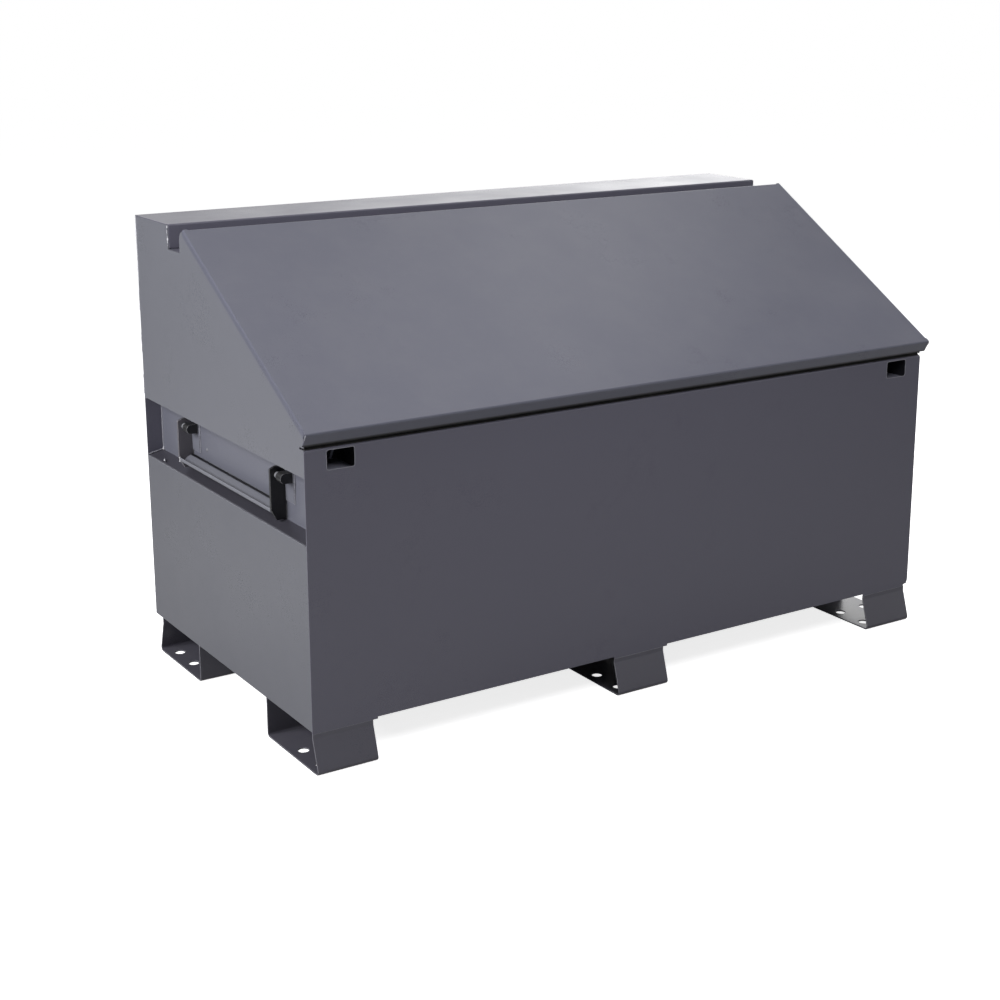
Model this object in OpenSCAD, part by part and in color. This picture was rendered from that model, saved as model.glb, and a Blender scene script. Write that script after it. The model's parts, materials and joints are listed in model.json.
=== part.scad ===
// Slope-front jobsite storage box in welded sheet steel, closed and standing on its six feet.
// Origin: middle of the whole outline, on the floor. +X along the box, front towards -Y, +Z up.

/* [Body] */
// Length of the body, along X
body_length = 1524; // [1400:2:1700]
// Depth of the body, front face to rear face
body_depth = 762; // [730:2:820]
// Height of the shelf on top, above the floor
total_height = 955.7; // [940:0.1:1000]
// Height of the front panel's top edge, above the floor
front_height = 620; // [600:1:640]
// Depth of the flat shelf along the rear
shelf_depth = 174; // [150:1:190]
// Thickness of the body sheet
sheet = 2; // [1.5:0.1:2.5]
// Middle radius of a bend in the body sheet
sheet_bend = 3; // [2.5:0.1:4]
// Depth of the return flange along the front panel's top
front_flange = 45; // [38:1:60]
// Height of the lip that ends that flange
front_lip = 15; // [8:1:25]
// Height of the floor pan's upstands
pan_upstand = 25; // [10:1:60]
// Width of the flange along the sloping side edges
slope_flange = 20; // [14:1:22]

/* [Lid] */
// Reach of the lid's front edge ahead of the front face
lid_reach = 20.5; // [18:0.1:24]
// Height of the lid's front edge above the front panel
lid_rise = 34; // [32:0.1:38]
// Overhang of the lid past each side
lid_overhang = 5.8; // [4.5:0.1:9]
// Depth of the hem along the lid's sides
lid_hem = 12; // [10:0.5:16]
// Depth of the lid's front skirt
lid_skirt = 28; // [22:0.5:30]
// Depth of the lid's rear flange
lid_rear_flange = 44; // [30:1:45]
// Depth of the stiffening ribs
rib_depth = 25; // [15:1:30]
// Width of the crown of a rib
rib_crown = 36; // [20:1:60]
// Width of each foot flange of a rib
rib_foot = 12; // [8:1:20]
// Place of the outer ribs either side of the middle
rib_spread = 400; // [250:5:500]

/* [Hinge] */
// Opening between the lid's rear edge and the shelf's face
trough_opening = 90; // [84:1:100]
// Depth of the hinge trough below the shelf
trough_drop = 50.2; // [49:0.1:53]
// Radius of the hinge knuckles
knuckle_r = 6; // [5:0.1:6.5]
// Radius of the hinge pin
hinge_pin_r = 2.5; // [2:0.1:3]
// Number of knuckles
knuckles = 25; // [15:2:35]
// Length of the hinge
hinge_length = 1480; // [1300:10:1500]
// Depth of the leaf on the trough floor
body_leaf = 24; // [16:1:30]

/* [Locks] */
// Distance of a lock pocket from the side of the body
pocket_inset = 44; // [40:1:80]
// Width of a lock pocket
pocket_width = 57; // [45:1:70]
// Height of a lock pocket
pocket_height = 37.5; // [30:0.5:40]
// Depth of the housing behind a lock pocket
pocket_depth = 80; // [76:1:110]
// Thickness of the lock tab
tab_plate = 5; // [3:0.5:8]
// Width of the lock tab
tab_width = 21; // [19:0.5:22]
// Radius of the eye in the lock tab
tab_eye_r = 6.5; // [4:0.1:7]

/* [Handles] */
// Depth of the handle recess
recess_depth = 36; // [36:0.5:44]
// Height of the recess's lower edge above the floor
recess_low = 441; // [400:1:446]
// Height of the recess's upper edge above the floor
recess_high = 568; // [564:1:572]
// Distance from the front face to the front arm
arm_front = 152.4; // [130:0.1:200]
// Distance between the two arms of a handle
arm_pitch = 439.4; // [360:0.1:480]
// Thickness of a handle arm
arm_plate = 6; // [4:0.5:8]
// Radius of a handle pin
handle_pin_r = 6.5; // [5:0.1:8]
// Thickness of the grip plate
grip_plate = 3; // [2:0.1:4]

/* [Feet] */
// Height of the feet under the body
foot_height = 81; // [70:1:100]
// Length of a foot along X
foot_length = 127; // [110:1:150]
// Depth of a foot along Y
foot_depth = 200; // [180:1:220]
// Thickness of the foot plate
foot_plate = 3; // [2.5:0.1:4.5]
// Distance that a foot's outer wall leans out
foot_flare = 21; // [14:0.1:26]
// Distance of the rear feet from the rear face
rear_foot_inset = 37; // [22:1:60]
// Shift of the middle feet towards the left
foot_shift = 10; // [0:0.5:12]
// Distance of the right-hand feet from the right side
foot_inset = 10.6; // [8:0.1:20]
// Diameter of the caster bolt holes
caster_hole = 22; // [11:0.5:24]
// Spacing of the caster holes along X
caster_x = 73; // [60:1:80]
// Spacing of the caster holes along Y
caster_y = 76; // [60:1:90]

/* [Gas springs] */
// Distance of the spring's axis from the side of the body
spring_inset = 34; // [33:0.5:45]
// Distance of the lid stud from the lid's front edge, along the slope
stud_along = 270; // [262:1:278]
// Depth of the lid stud below the lid's skin
stud_below = 32; // [30:0.5:36]
// Distance of the lower pivot ahead of the hinge axis
pivot_ahead = 34.7; // [33:0.1:38]
// Distance of the lower pivot below the hinge axis
pivot_below = 65.5; // [62:0.1:69]
// Radius of the cylinder
spring_r = 11; // [8:0.5:11.5]
// Radius of the rod
rod_r = 4; // [3:0.1:5]
// Opening angle of the lid in degrees
lid_angle = 110; // [90:1:112]

/* [Hidden] */

// Finishes
graphite = [0.31, 0.31, 0.34];
lid_graphite = [0.42, 0.43, 0.47];
recess_graphite = [0.27, 0.27, 0.29];
black = [0.08, 0.08, 0.08];
zinc = [0.72, 0.73, 0.75];

// Clearances and shared values
over = 1;
face_gap = 0.3;
running_fit = 0.05;
seat_fit = 0.02;
bend_steps = 5;
round_fn = 64;
weld_edge = 10;

// Front panel
panel_corner = 5;
panel_low_corner = 12;
foot_tab = 4;
gap_notch = [16, 4];

// Slope of the lid: distances along the slope are u, heights square to it are w
lid_sheet = sheet;
lid_tip = [-lid_reach, front_height + lid_rise];
shelf_face = body_depth - shelf_depth;
lid_rear = [shelf_face - trough_opening, total_height];
lid_slant = norm(lid_rear - lid_tip);
lid_slope = atan2(lid_rear[1] - lid_tip[1], lid_rear[0] - lid_tip[0]);
side_drop = 8;
side_play = 3;
skirt_path = [[lid_sheet / 2, -lid_skirt], [lid_sheet / 2, -lid_sheet / 2], [lid_hem, -lid_sheet / 2]];
slope_flange_start = 30;
slope_flange_stop = 30;

// Hinge axis
trough_floor = total_height - trough_drop;
trough_lip = 25;
trough_upstand = 30;
trough_front = 76;
knuckle_lift = 0.5;
knuckle_gap = 0.5;
leaf_plate = 2;
lid_leaf_top = 10;
hinge_axis_u = lid_slant + knuckle_r;
hinge_axis_z = trough_floor + knuckle_r + knuckle_lift;
hinge_axis_w = (hinge_axis_z - lid_tip[1] - hinge_axis_u * sin(lid_slope)) / cos(lid_slope);
hinge_axis = lid_at(hinge_axis_u, hinge_axis_w);
knuckle_pitch = hinge_length / knuckles;

// Side panels
notch_width = 59;
notch_round = 20;
ledge_rise = 8;
channel_lip = 20;

// Seals
seal_front = 3;
seal_width = 10;
side_seal_width = 12;
side_seal_inset = 4;
channel_clear = 13;
front_seal_inset = 27;

// Lid front channel
channel_from = 3;
channel_to = 42;
channel_bottom = front_height + channel_clear;

// Lock tab, hung square to the lid
seal_to_tab = 1.86;
tab_floor_gap = 7.4;
tab_from = (seal_front + seal_width + seal_to_tab - lid_tip[0]) * cos(lid_slope)
    + (channel_bottom - lid_tip[1]) * sin(lid_slope);
tab_round = 7;
tab_eye_lift = 13;
slot_play = 2;
slot_ends = 3;
housing_margin = 6;
housing_drop = 4;
pocket_corner = 4.5;
pocket_top = 4.5;
pocket_middle = pocket_inset + pocket_width / 2;
pocket_top_z = front_height - pocket_top;
housing_floor = pocket_top_z - pocket_height - housing_drop - sheet;
tab_reach = (lid_tip[1] + tab_from * sin(lid_slope) - housing_floor - sheet - tab_floor_gap)
    / cos(lid_slope);

// Ribs
rib_sheet = 1.5;
rib_bend = 2;
rib_front = u_over(channel_to + sheet, -lid_sheet) + face_gap;
rib_rear = 40;

// Handles
pivot_in = 17.8;
pivot_drop = 30;
arm_outer = 3.3;
arm_inner_gap = 0.8;
arm_top_r = recess_depth - arm_inner_gap - pivot_in;
arm_above = 12;
arm_low = 67;
arm_end = 88;
arm_foot_in = 14.5;
arm_heel = 2;
bracket_width = 35.8;
bracket_plate = 3;
bracket_up = 20;
bracket_down = 50;
bracket_to_arm = 1;
ear_width = 21.5;
ear_from = 2.4;
ear_r = 10;
ear_cap = 3;
pin_past_arm = 2.5;
grip_outer_drop = 71;
grip_inner_drop = 61;
grip_inner_edge = 33;
grip_dish = 7;
grip_hem = 6;
rivet_r = 3.3;
rivet_head = 1.6;
rivet_shank_r = 2;
rivet_place = [522, 500];

// Feet
foot_bend = 6.5;
foot_wall_top = 9;
caster_from_edge = 27;
caster_row = 22;
foot_wall = foot_height - foot_tab;
function foot_path(top) = [
    [foot_plate / 2, top], [foot_plate / 2, foot_wall - foot_wall_top],
    [foot_plate / 2 - foot_flare, foot_plate / 2],
    [foot_depth - foot_plate / 2, foot_plate / 2], [foot_depth - foot_plate / 2, foot_height]
];

// Depth of the whole outline, front to rear; the frame's origin is at its middle
foot_toe = min([for (p = sheet_face(foot_path(foot_wall), foot_bend, -foot_plate / 2)) p[0]]);
lid_nose = min([for (p = sheet_face(skirt_path, sheet_bend, lid_sheet / 2)) lid_at(p[0], p[1])[0]]);
outline_front = min(foot_toe, lid_nose);
outline_rear = max(body_depth, body_depth - rear_foot_inset - foot_toe);
middle = (outline_front + outline_rear) / 2;

// Gas springs
eye_r = 9;
eye_width = 10;
stud_r = 4;
lid_stud_r = 5;
stud_head = 1.6;
stud_head_r = 6.5;
head_play = 0.4;
spring_base = [36, 44];
spring_base_plate = 3;
neck_r = eye_width / 2 - 0.2 * face_gap;
tube_from = 16;
tube_short = 34;
rod_inside = 60;
bracket_span = 40;
bracket_leg = 12;
bracket_base = 26;
bracket_bend = 3;
web_gap = 7;
lower_pivot = hinge_axis - [pivot_ahead, pivot_below];
lid_stud = lid_at(stud_along, -stud_below);
open_stud = hinge_axis + turned(lid_stud - hinge_axis, -lid_angle);
closed_line = lid_stud - lower_pivot;
open_line = open_stud - lower_pivot;
spring_closed = norm(closed_line);
spring_open = norm(open_line);
spring_heading = atan2(closed_line[1], closed_line[0]);
spring_swing = signed_turn(open_line, closed_line);

// Point on the lid's own slope, as [distance behind the front face, height]
function lid_at(u, w) = lid_tip + turned([u, w], lid_slope);
function turned(v, a) = [v[0] * cos(a) - v[1] * sin(a), v[0] * sin(a) + v[1] * cos(a)];
function unit(v) = v / norm(v);
function left_of(v) = [-v[1], v[0]];
function signed_turn(a, b) = atan2(a[0] * b[1] - a[1] * b[0], a * b);
function reversed(list) = [for (i = [len(list) - 1:-1:0]) list[i]];
function w_at(u, z) = (z - lid_tip[1] - u * sin(lid_slope)) / cos(lid_slope);
function u_over(y, w) = (y - lid_tip[0] + w * sin(lid_slope)) / cos(lid_slope);

// Points round one bend of a path, offset to its left, about one shared centre
function bend_points(a, p, b, r, offset_left = 0) =
    let (into = unit(p - a), out = unit(b - p), turn = signed_turn(into, out))
    let (side = sign(turn), back = r * tan(abs(turn) / 2))
    let (centre = p - into * back + left_of(into) * r * side)
    let (arm = -left_of(into) * side * (r - side * offset_left))
    [for (i = [0:bend_steps]) centre + turned(arm, turn * i / bend_steps)];

function sheet_face(path, r, offset_left) =
    let (last = len(path) - 1)
    concat(
        [path[0] + left_of(unit(path[1] - path[0])) * offset_left],
        [for (i = [1:1:last - 1]) each bend_points(path[i - 1], path[i], path[i + 1], r, offset_left)],
        [path[last] + left_of(unit(path[last] - path[last - 1])) * offset_left]
    );

// Section of a bent sheet, from the line along the middle of its thickness
module bent_sheet(path, plate, r)
    polygon(concat(sheet_face(path, r, plate / 2), reversed(sheet_face(path, r, -plate / 2))));

// Frames: depth runs back from the front face; inset runs in from the left side
module on_body(finish) color(finish) translate([0, -middle, 0]) children();
module on_side(right, finish) color(finish) mirror([right ? 1 : 0, 0, 0])
    translate([-body_length / 2, -middle, 0]) children();
module on_slope() translate([0, lid_tip[0], lid_tip[1]]) rotate([lid_slope, 0, 0]) children();
module along_x(from, to) translate([from, 0, 0]) rotate([90, 0, 90]) linear_extrude(to - from) children();
module along_y(from, to) translate([0, to, 0]) rotate([90, 0, 0]) linear_extrude(to - from) children();
module rod_x(r, from, to)
    translate([from, 0, 0]) rotate([0, 90, 0]) cylinder(r = r, h = to - from, $fn = round_fn);
module rod_y(r, from, to)
    translate([0, from, 0]) rotate([-90, 0, 0]) cylinder(r = r, h = to - from, $fn = round_fn);

// Waste outside a rounded corner of a plate that stands along X
module corner_waste(x, z, r, right, up)
    translate([x, 0, z]) mirror([right ? 0 : 1, 0, 0]) mirror([0, 0, up ? 0 : 1])
        along_y(-over, front_flange + over) difference() {
            translate([-r, -r]) square(r + over);
            translate([-r, -r]) circle(r, $fn = round_fn);
        }

// Front panel with its top flange, the tabs over the feet and the two lock openings
module front_panel() on_body(graphite) difference() {
    union() {
        along_x(-body_length / 2, body_length / 2) bent_sheet([
            [sheet / 2, foot_height], [sheet / 2, front_height - sheet / 2],
            [front_flange - sheet / 2, front_height - sheet / 2],
            [front_flange - sheet / 2, front_height - front_lip]
        ], sheet, sheet_bend);
        for (x = foot_places) translate([x, 0, foot_height - foot_tab]) {
            tab_length = min(foot_length + weld_edge, body_length / 2 - panel_low_corner - x);
            cube([tab_length, sheet, foot_tab + over]);
        }
    }
    corner_waste(body_length / 2, front_height, panel_corner, true, true);
    corner_waste(-body_length / 2, front_height, panel_corner, false, true);
    corner_waste(body_length / 2, foot_height, panel_low_corner, true, false);
    for (right = [false, true]) mirror([right ? 1 : 0, 0, 0]) translate([-body_length / 2, 0, 0]) {
        translate([pocket_middle, 0, pocket_top_z - pocket_height / 2])
            along_y(-over, sheet + over) pocket_outline();
        tab_slot(front_height);
        housing_room();
        side_room();
    }
}

// Room for the side panel at the end of the flange
module side_room() translate([-over, sheet, front_height - front_lip - over])
    cube([sheet + over, front_flange, front_lip + 2 * over]);

module pocket_outline() {
    half = [pocket_width / 2, pocket_height / 2];
    square([pocket_width, pocket_height - 2 * pocket_corner], center = true);
    square([pocket_width - 2 * pocket_corner, pocket_height], center = true);
    for (sx = [-1, 1], sz = [-1, 1])
        translate([sx * (half[0] - pocket_corner), sz * (half[1] - pocket_corner)])
            circle(pocket_corner, $fn = round_fn);
}

// Slot that the lock tab passes through, in the flange and the housing's top
tab_slot_from = lid_at(tab_from, w_at(tab_from, front_height))[0] - slot_ends;
tab_slot_to = lid_at(tab_from + tab_width, w_at(tab_from + tab_width, front_height))[0] + slot_ends;
module tab_slot(top)
    translate([pocket_middle - tab_plate / 2 - slot_play, tab_slot_from, top - 2 * sheet - over])
        cube([tab_plate + 2 * slot_play, tab_slot_to - tab_slot_from, 2 * sheet + 2 * over]);

// Room for the lock housing behind the flange's lip
module housing_room() translate([housing_from, sheet + sheet_bend, housing_floor])
    cube([housing_width, pocket_depth + over, front_height - sheet - housing_floor]);

housing_from = pocket_inset - housing_margin;
housing_width = pocket_width + 2 * housing_margin;

// Open-fronted box behind a lock opening, with a slot in its top for the tab
module lock_housing(right) on_side(right, recess_graphite) difference() {
    translate([housing_from, sheet, housing_floor])
        cube([housing_width, pocket_depth, front_height - sheet - housing_floor]);
    translate([housing_from + sheet, -over, housing_floor + sheet])
        cube([housing_width - 2 * sheet, pocket_depth + over, front_height - 3 * sheet - housing_floor]);
    tab_slot(front_height);
    bend_room();
}
// Clears the curve between the front panel and its flange
module bend_room() translate([0, 0, front_height - sheet - sheet_bend])
    cube([pocket_inset + pocket_width + housing_margin + over, sheet + sheet_bend, sheet_bend + over]);

module rear_panel() on_body(graphite) translate([-body_length / 2, body_depth - sheet, foot_height])
    cube([body_length, sheet, total_height - sheet - foot_height]);

// Floor tray with upstands on all four sides
module floor_pan() on_body(graphite) difference() {
    translate([-body_length / 2 + sheet, sheet, foot_height])
        cube([body_length - 2 * sheet, body_depth - 2 * sheet, pan_upstand]);
    translate([-body_length / 2 + 2 * sheet, 2 * sheet, foot_height + sheet])
        cube([body_length - 4 * sheet, body_depth - 4 * sheet, pan_upstand]);
}

// Upper side panel: sloping edge, round-nosed tip and the notch at the hinge trough
notch_rear = shelf_face + sheet / 2;
notch_front = notch_rear - notch_width;
slope_front = [sheet, lid_at(u_over(sheet, -side_drop), -side_drop)[1]];
slope_end = [notch_front, lid_at(u_over(notch_front, -side_drop), -side_drop)[1]];
module upper_side(right) on_side(right, graphite) {
    along_x(0, sheet) polygon(concat(
        [
            [sheet, recess_high], [sheet, front_height], [sheet + gap_notch[0], front_height],
            [sheet + gap_notch[0], front_height + gap_notch[1]], [sheet, front_height + gap_notch[1]],
            slope_front
        ],
        bend_points(slope_front, slope_end, [notch_front, trough_floor], notch_round),
        [
            [notch_front, trough_floor], [notch_rear, trough_floor],
            [notch_rear, total_height - sheet], [body_depth - sheet, total_height - sheet],
            [body_depth - sheet, recess_high]
        ]
    ));
    on_slope() translate([0, slope_flange_start, -side_drop - sheet])
        cube([slope_flange, lid_slant - slope_flange_start - slope_flange_stop, sheet]);
}

module lower_side(right) on_side(right, graphite) translate([0, sheet, foot_height])
    cube([sheet, body_depth - 2 * sheet, recess_low - foot_height]);

// Recess along each side, with lips welded behind the panels above and below it
module handle_channel(right) on_side(right, recess_graphite) difference() {
    along_y(sheet, body_depth - sheet) bent_sheet([
        [1.5 * sheet, recess_high + sheet + channel_lip], [1.5 * sheet, recess_high + sheet / 2],
        [recess_depth + sheet / 2, recess_high + sheet / 2],
        [recess_depth + sheet / 2, recess_low + ledge_rise - sheet / 2],
        [1.5 * sheet, recess_low - sheet / 2], [1.5 * sheet, recess_low - sheet - channel_lip]
    ], sheet, sheet_bend);
    translate([0, rivet_place[0], rivet_place[1]])
        rod_x(rivet_shank_r + seat_fit, recess_depth - over, recess_depth + sheet + over);
}

module channel_rivets() {
    rivet(false);
    rivet(true);
}
module rivet(right) on_side(right, zinc) translate([0, rivet_place[0], rivet_place[1]]) {
    rod_x(rivet_r, recess_depth - rivet_head, recess_depth);
    rod_x(rivet_shank_r, recess_depth - over, recess_depth + sheet + over);
    rod_x(rivet_r, recess_depth + sheet, recess_depth + sheet + rivet_head);
}

// Shelf along the rear, folded down as the rear wall of the hinge trough
module top_shelf() on_body(graphite) {
    along_x(-body_length / 2 + sheet, body_length / 2 - sheet) bent_sheet([
        [body_depth, total_height - sheet / 2], [shelf_face + sheet / 2, total_height - sheet / 2],
        [shelf_face + sheet / 2, trough_floor + sheet_bend - sheet / 2]
    ], sheet, sheet_bend);
    for (x = [-body_length / 2, body_length / 2 - sheet])
        translate([x, shelf_face + sheet + sheet_bend, total_height - sheet])
            cube([sheet, shelf_depth - sheet - sheet_bend, sheet]);
}

trough_nose = shelf_face - trough_front;
module hinge_trough() on_body(graphite)
    along_x(-body_length / 2 + sheet, body_length / 2 - sheet) bent_sheet([
        [shelf_face + 1.5 * sheet, trough_floor + trough_upstand],
        [shelf_face + 1.5 * sheet, trough_floor - sheet / 2],
        [trough_nose + sheet / 2, trough_floor - sheet / 2],
        [trough_nose + sheet / 2, trough_floor - trough_lip]
    ], sheet, sheet_bend);

// Every other knuckle, from the first or the second
module knuckle_row(first) for (i = [first:2:knuckles - 1])
    translate([(i - knuckles / 2) * knuckle_pitch + knuckle_gap / 2, 0, 0]) children();
knuckle_width = knuckle_pitch - knuckle_gap;
leaf_clear = knuckle_r + knuckle_lift;

module hinge_body_leaf() on_body(graphite) translate([0, hinge_axis[0], hinge_axis[1]]) difference() {
    union() {
        translate([-hinge_length / 2, leaf_clear, -leaf_clear]) cube([hinge_length, body_leaf, leaf_plate]);
        knuckle_row(0) {
            rod_x(knuckle_r, 0, knuckle_width);
            translate([0, 0, -leaf_clear]) cube([knuckle_width, leaf_clear + over, leaf_plate]);
        }
    }
    rod_x(hinge_pin_r + running_fit, -hinge_length, hinge_length);
}

module hinge_lid_leaf() on_body(lid_graphite) on_slope() difference() {
    union() {
        translate([-hinge_length / 2, lid_slant, hinge_axis_w + leaf_clear])
            cube([hinge_length, leaf_plate, -hinge_axis_w - leaf_clear - lid_leaf_top]);
        translate([0, hinge_axis_u, hinge_axis_w]) knuckle_row(1) {
            rod_x(knuckle_r, 0, knuckle_width);
            translate([0, -knuckle_r, 0]) cube([knuckle_width, leaf_plate, leaf_clear + over]);
        }
    }
    translate([0, hinge_axis_u, hinge_axis_w])
        rod_x(hinge_pin_r + running_fit, -hinge_length, hinge_length);
}

module hinge_pin() on_body(zinc) translate([0, hinge_axis[0], hinge_axis[1]])
    rod_x(hinge_pin_r, -hinge_length / 2, hinge_length / 2);

seal_reach = body_length / 2 - front_seal_inset;
module front_seal() on_body(black) translate([-seal_reach, seal_front, front_height])
    cube([2 * seal_reach, seal_width, channel_clear - face_gap]);

module side_seal(right) on_side(right, black) on_slope()
    translate([side_seal_inset, slope_flange_start, -side_drop])
        cube([
            side_seal_width, lid_slant - slope_flange_start - slope_flange_stop,
            side_drop - lid_sheet - face_gap
        ]);

// Feet: open channels of bent plate, the outer wall leaning out; at the front it stops under a tab
foot_places = [
    -body_length / 2, -foot_length / 2 - foot_shift,
    body_length / 2 - foot_length - foot_inset
];
module foot(place, rear) on_body(graphite)
    translate([foot_places[place], rear ? body_depth - rear_foot_inset : 0, 0])
    mirror([0, rear ? 1 : 0, 0]) difference() {
        along_x(0, foot_length) bent_sheet(foot_path(rear ? foot_height : foot_wall), foot_plate, foot_bend);
        for (x = [0, caster_x], y = [0, caster_y])
            translate([caster_from_edge + x, caster_row + y, -over])
                cylinder(d = caster_hole, h = foot_plate + 2 * over, $fn = round_fn);
    }

// Handle bracket: base flange on the recess wall and an ear that holds the pin
pivot_height = recess_high - pivot_drop;
function arm_at(rear) = arm_front + (rear ? arm_pitch : 0);
function bracket_at(rear) = arm_at(rear) - bracket_to_arm - bracket_width;
module on_pivot(rear) translate([pivot_in, bracket_at(rear), pivot_height]) children();

module handle_bracket(right, rear) on_side(right, black) on_pivot(rear) difference() {
    union() {
        translate([recess_depth - pivot_in - bracket_plate, 0, -bracket_down])
            cube([bracket_plate, bracket_width, bracket_down + bracket_up]);
        rod_y(ear_r, ear_from, ear_from + ear_width);
        translate([0, ear_from, -ear_r]) cube([recess_depth - pivot_in, ear_width, 2 * ear_r]);
    }
    rod_y(handle_pin_r + seat_fit, ear_from + ear_cap, bracket_width + over);
}

module handle_pin(right, rear) on_side(right, zinc) on_pivot(rear)
    rod_y(handle_pin_r, ear_from + ear_cap, bracket_width + bracket_to_arm + arm_plate + pin_past_arm);

// Handle arm, outlined about its pivot
arm_side = pivot_in - arm_outer;
arm_outline = concat(
    [
        [-arm_side, -arm_low], [-arm_side, arm_above],
        [-arm_top_r * sin(10), arm_top_r * cos(10)]
    ],
    [for (a = [70:-10:0]) arm_top_r * [cos(a), sin(a)]],
    [[arm_top_r - arm_heel, -arm_end], [arm_foot_in - pivot_in, -arm_end]]
);
module handle_arm(right, rear) on_side(right, black)
    translate([pivot_in, arm_at(rear), pivot_height]) difference() {
        along_y(0, arm_plate) polygon(arm_outline);
        rod_y(handle_pin_r + running_fit, -over, arm_plate + over);
    }

// Grip: a dished plate between the arms, its outer and inner edges turned up
module grip(right) on_side(right, graphite) along_y(arm_front + arm_plate, arm_front + arm_pitch)
    translate([0, pivot_height]) bent_sheet([
        [arm_outer + grip_plate / 2, grip_hem - grip_outer_drop],
        [arm_outer + grip_plate / 2, -grip_outer_drop],
        [arm_outer + grip_dish, -grip_outer_drop - grip_dish / 2],
        [grip_inner_edge - grip_dish, -grip_inner_drop - grip_dish / 2],
        [grip_inner_edge, -grip_inner_drop]
    ], grip_plate, grip_plate);

// Lid skin with its hems, skirt and rear flange
lid_half = body_length / 2 + lid_overhang;
flange_half = body_length / 2 - sheet - side_play;
module lid_skin() on_body(lid_graphite) on_slope() {
    difference() {
        along_y(lid_sheet + sheet_bend, lid_slant) bent_sheet([
            [-lid_half + lid_sheet / 2, -lid_hem], [-lid_half + lid_sheet / 2, -lid_sheet / 2],
            [lid_half - lid_sheet / 2, -lid_sheet / 2], [lid_half - lid_sheet / 2, -lid_hem]
        ], lid_sheet, sheet_bend);
        hem_waste();
        translate([-flange_half, lid_slant - lid_sheet - sheet_bend, -lid_hem])
            cube([2 * flange_half, lid_sheet + sheet_bend + over, lid_hem + over]);
    }
    along_x(-lid_half, lid_half) bent_sheet(skirt_path, lid_sheet, sheet_bend);
    along_x(-flange_half, flange_half) bent_sheet([
        [lid_slant - lid_hem, -lid_sheet / 2], [lid_slant - lid_sheet / 2, -lid_sheet / 2],
        [lid_slant - lid_sheet / 2, -lid_rear_flange]
    ], lid_sheet, sheet_bend);
}
// Rounds the rear ends of the two hems
module hem_waste() along_x(-lid_half - over, lid_half + over)
    translate([lid_slant - lid_hem, 0]) difference() {
        translate([0, -lid_hem - over]) square([lid_hem + over, lid_hem - lid_sheet + over]);
        circle(lid_hem, $fn = round_fn);
    }

// Space above the underside of the lid's skin
module above_lid() along_x(-body_length, body_length) polygon([
    lid_at(-lid_slant, -lid_sheet), lid_at(2 * lid_slant, -lid_sheet),
    lid_at(2 * lid_slant, lid_slant), lid_at(-lid_slant, lid_slant)
]);

// Channel inside the lid's front edge, closed onto the skin; its base presses on the seal
channel_leg = channel_bottom + lid_rise + lid_hem;
module lid_front_channel() on_body(lid_graphite) difference() {
    along_x(-seal_reach, seal_reach) bent_sheet([
        [channel_from, channel_leg], [channel_from, channel_bottom + sheet / 2],
        [channel_to, channel_bottom + sheet / 2], [channel_to, channel_leg]
    ], sheet, sheet_bend);
    above_lid();
}

// Hat-section rib welded under the skin
module rib(place) on_body(lid_graphite) on_slope() translate([place, 0, -lid_sheet])
    along_y(rib_front, lid_slant - rib_rear) bent_sheet([
        [-rib_crown / 2 - rib_foot, -rib_sheet / 2], [-rib_crown / 2, -rib_sheet / 2],
        [-rib_crown / 2, -rib_depth], [rib_crown / 2, -rib_depth],
        [rib_crown / 2, -rib_sheet / 2], [rib_crown / 2 + rib_foot, -rib_sheet / 2]
    ], rib_sheet, rib_bend);

// Lock tab: a plate square to the lid, cut off level where it is welded to the channel
module lock_tab(right) on_side(right, lid_graphite) difference() {
    on_slope() along_x(pocket_middle - tab_plate / 2, pocket_middle + tab_plate / 2) difference() {
        union() {
            translate([tab_from, -tab_reach + tab_round]) square([tab_width, tab_reach]);
            translate([tab_from + tab_round, -tab_reach])
                square([tab_width - 2 * tab_round, tab_round + over]);
            for (u = [tab_round, tab_width - tab_round])
                translate([tab_from + u, -tab_reach + tab_round]) circle(tab_round, $fn = round_fn);
        }
        translate([tab_from + tab_width / 2, -tab_reach + tab_eye_lift]) circle(tab_eye_r, $fn = round_fn);
    }
    translate([0, -body_depth, channel_bottom]) cube([body_length, 2 * body_depth, body_depth]);
}

// Gas spring, laid along the line from its lower pivot to the stud on the lid
module on_spring() translate([spring_inset, lower_pivot[0], lower_pivot[1]])
    rotate([spring_heading - 90, 0, 0]) children();
module eye() rod_x(eye_r, -eye_width / 2, eye_width / 2);

module spring_bracket(right) on_side(right, zinc)
    translate([0, lower_pivot[0], lower_pivot[1]]) {
        translate([sheet, -spring_base[0] / 2, -spring_base[1] / 2])
            cube([spring_base_plate, spring_base[0], spring_base[1]]);
        rod_x(stud_r, sheet, spring_inset + eye_width / 2 + head_play + stud_head);
        translate([spring_inset + eye_width / 2 + head_play, 0, 0]) rod_x(stud_head_r, 0, stud_head);
    }

module spring_cylinder(right) on_side(right, black) on_spring() difference() {
    union() {
        eye();
        cylinder(r = neck_r, h = tube_from + over, $fn = round_fn);
        translate([0, 0, tube_from])
            cylinder(r = spring_r, h = spring_closed - tube_short - tube_from, $fn = round_fn);
    }
    rod_x(stud_r + running_fit, -eye_width, eye_width);
    translate([0, 0, rod_inside - over])
        cylinder(r = rod_r + running_fit, h = spring_closed, $fn = round_fn);
}

module spring_rod(right) on_side(right, zinc) on_spring() {
    translate([0, 0, rod_inside]) cylinder(r = rod_r, h = spring_closed - rod_inside, $fn = round_fn);
    translate([0, 0, spring_closed]) eye();
}

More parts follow.
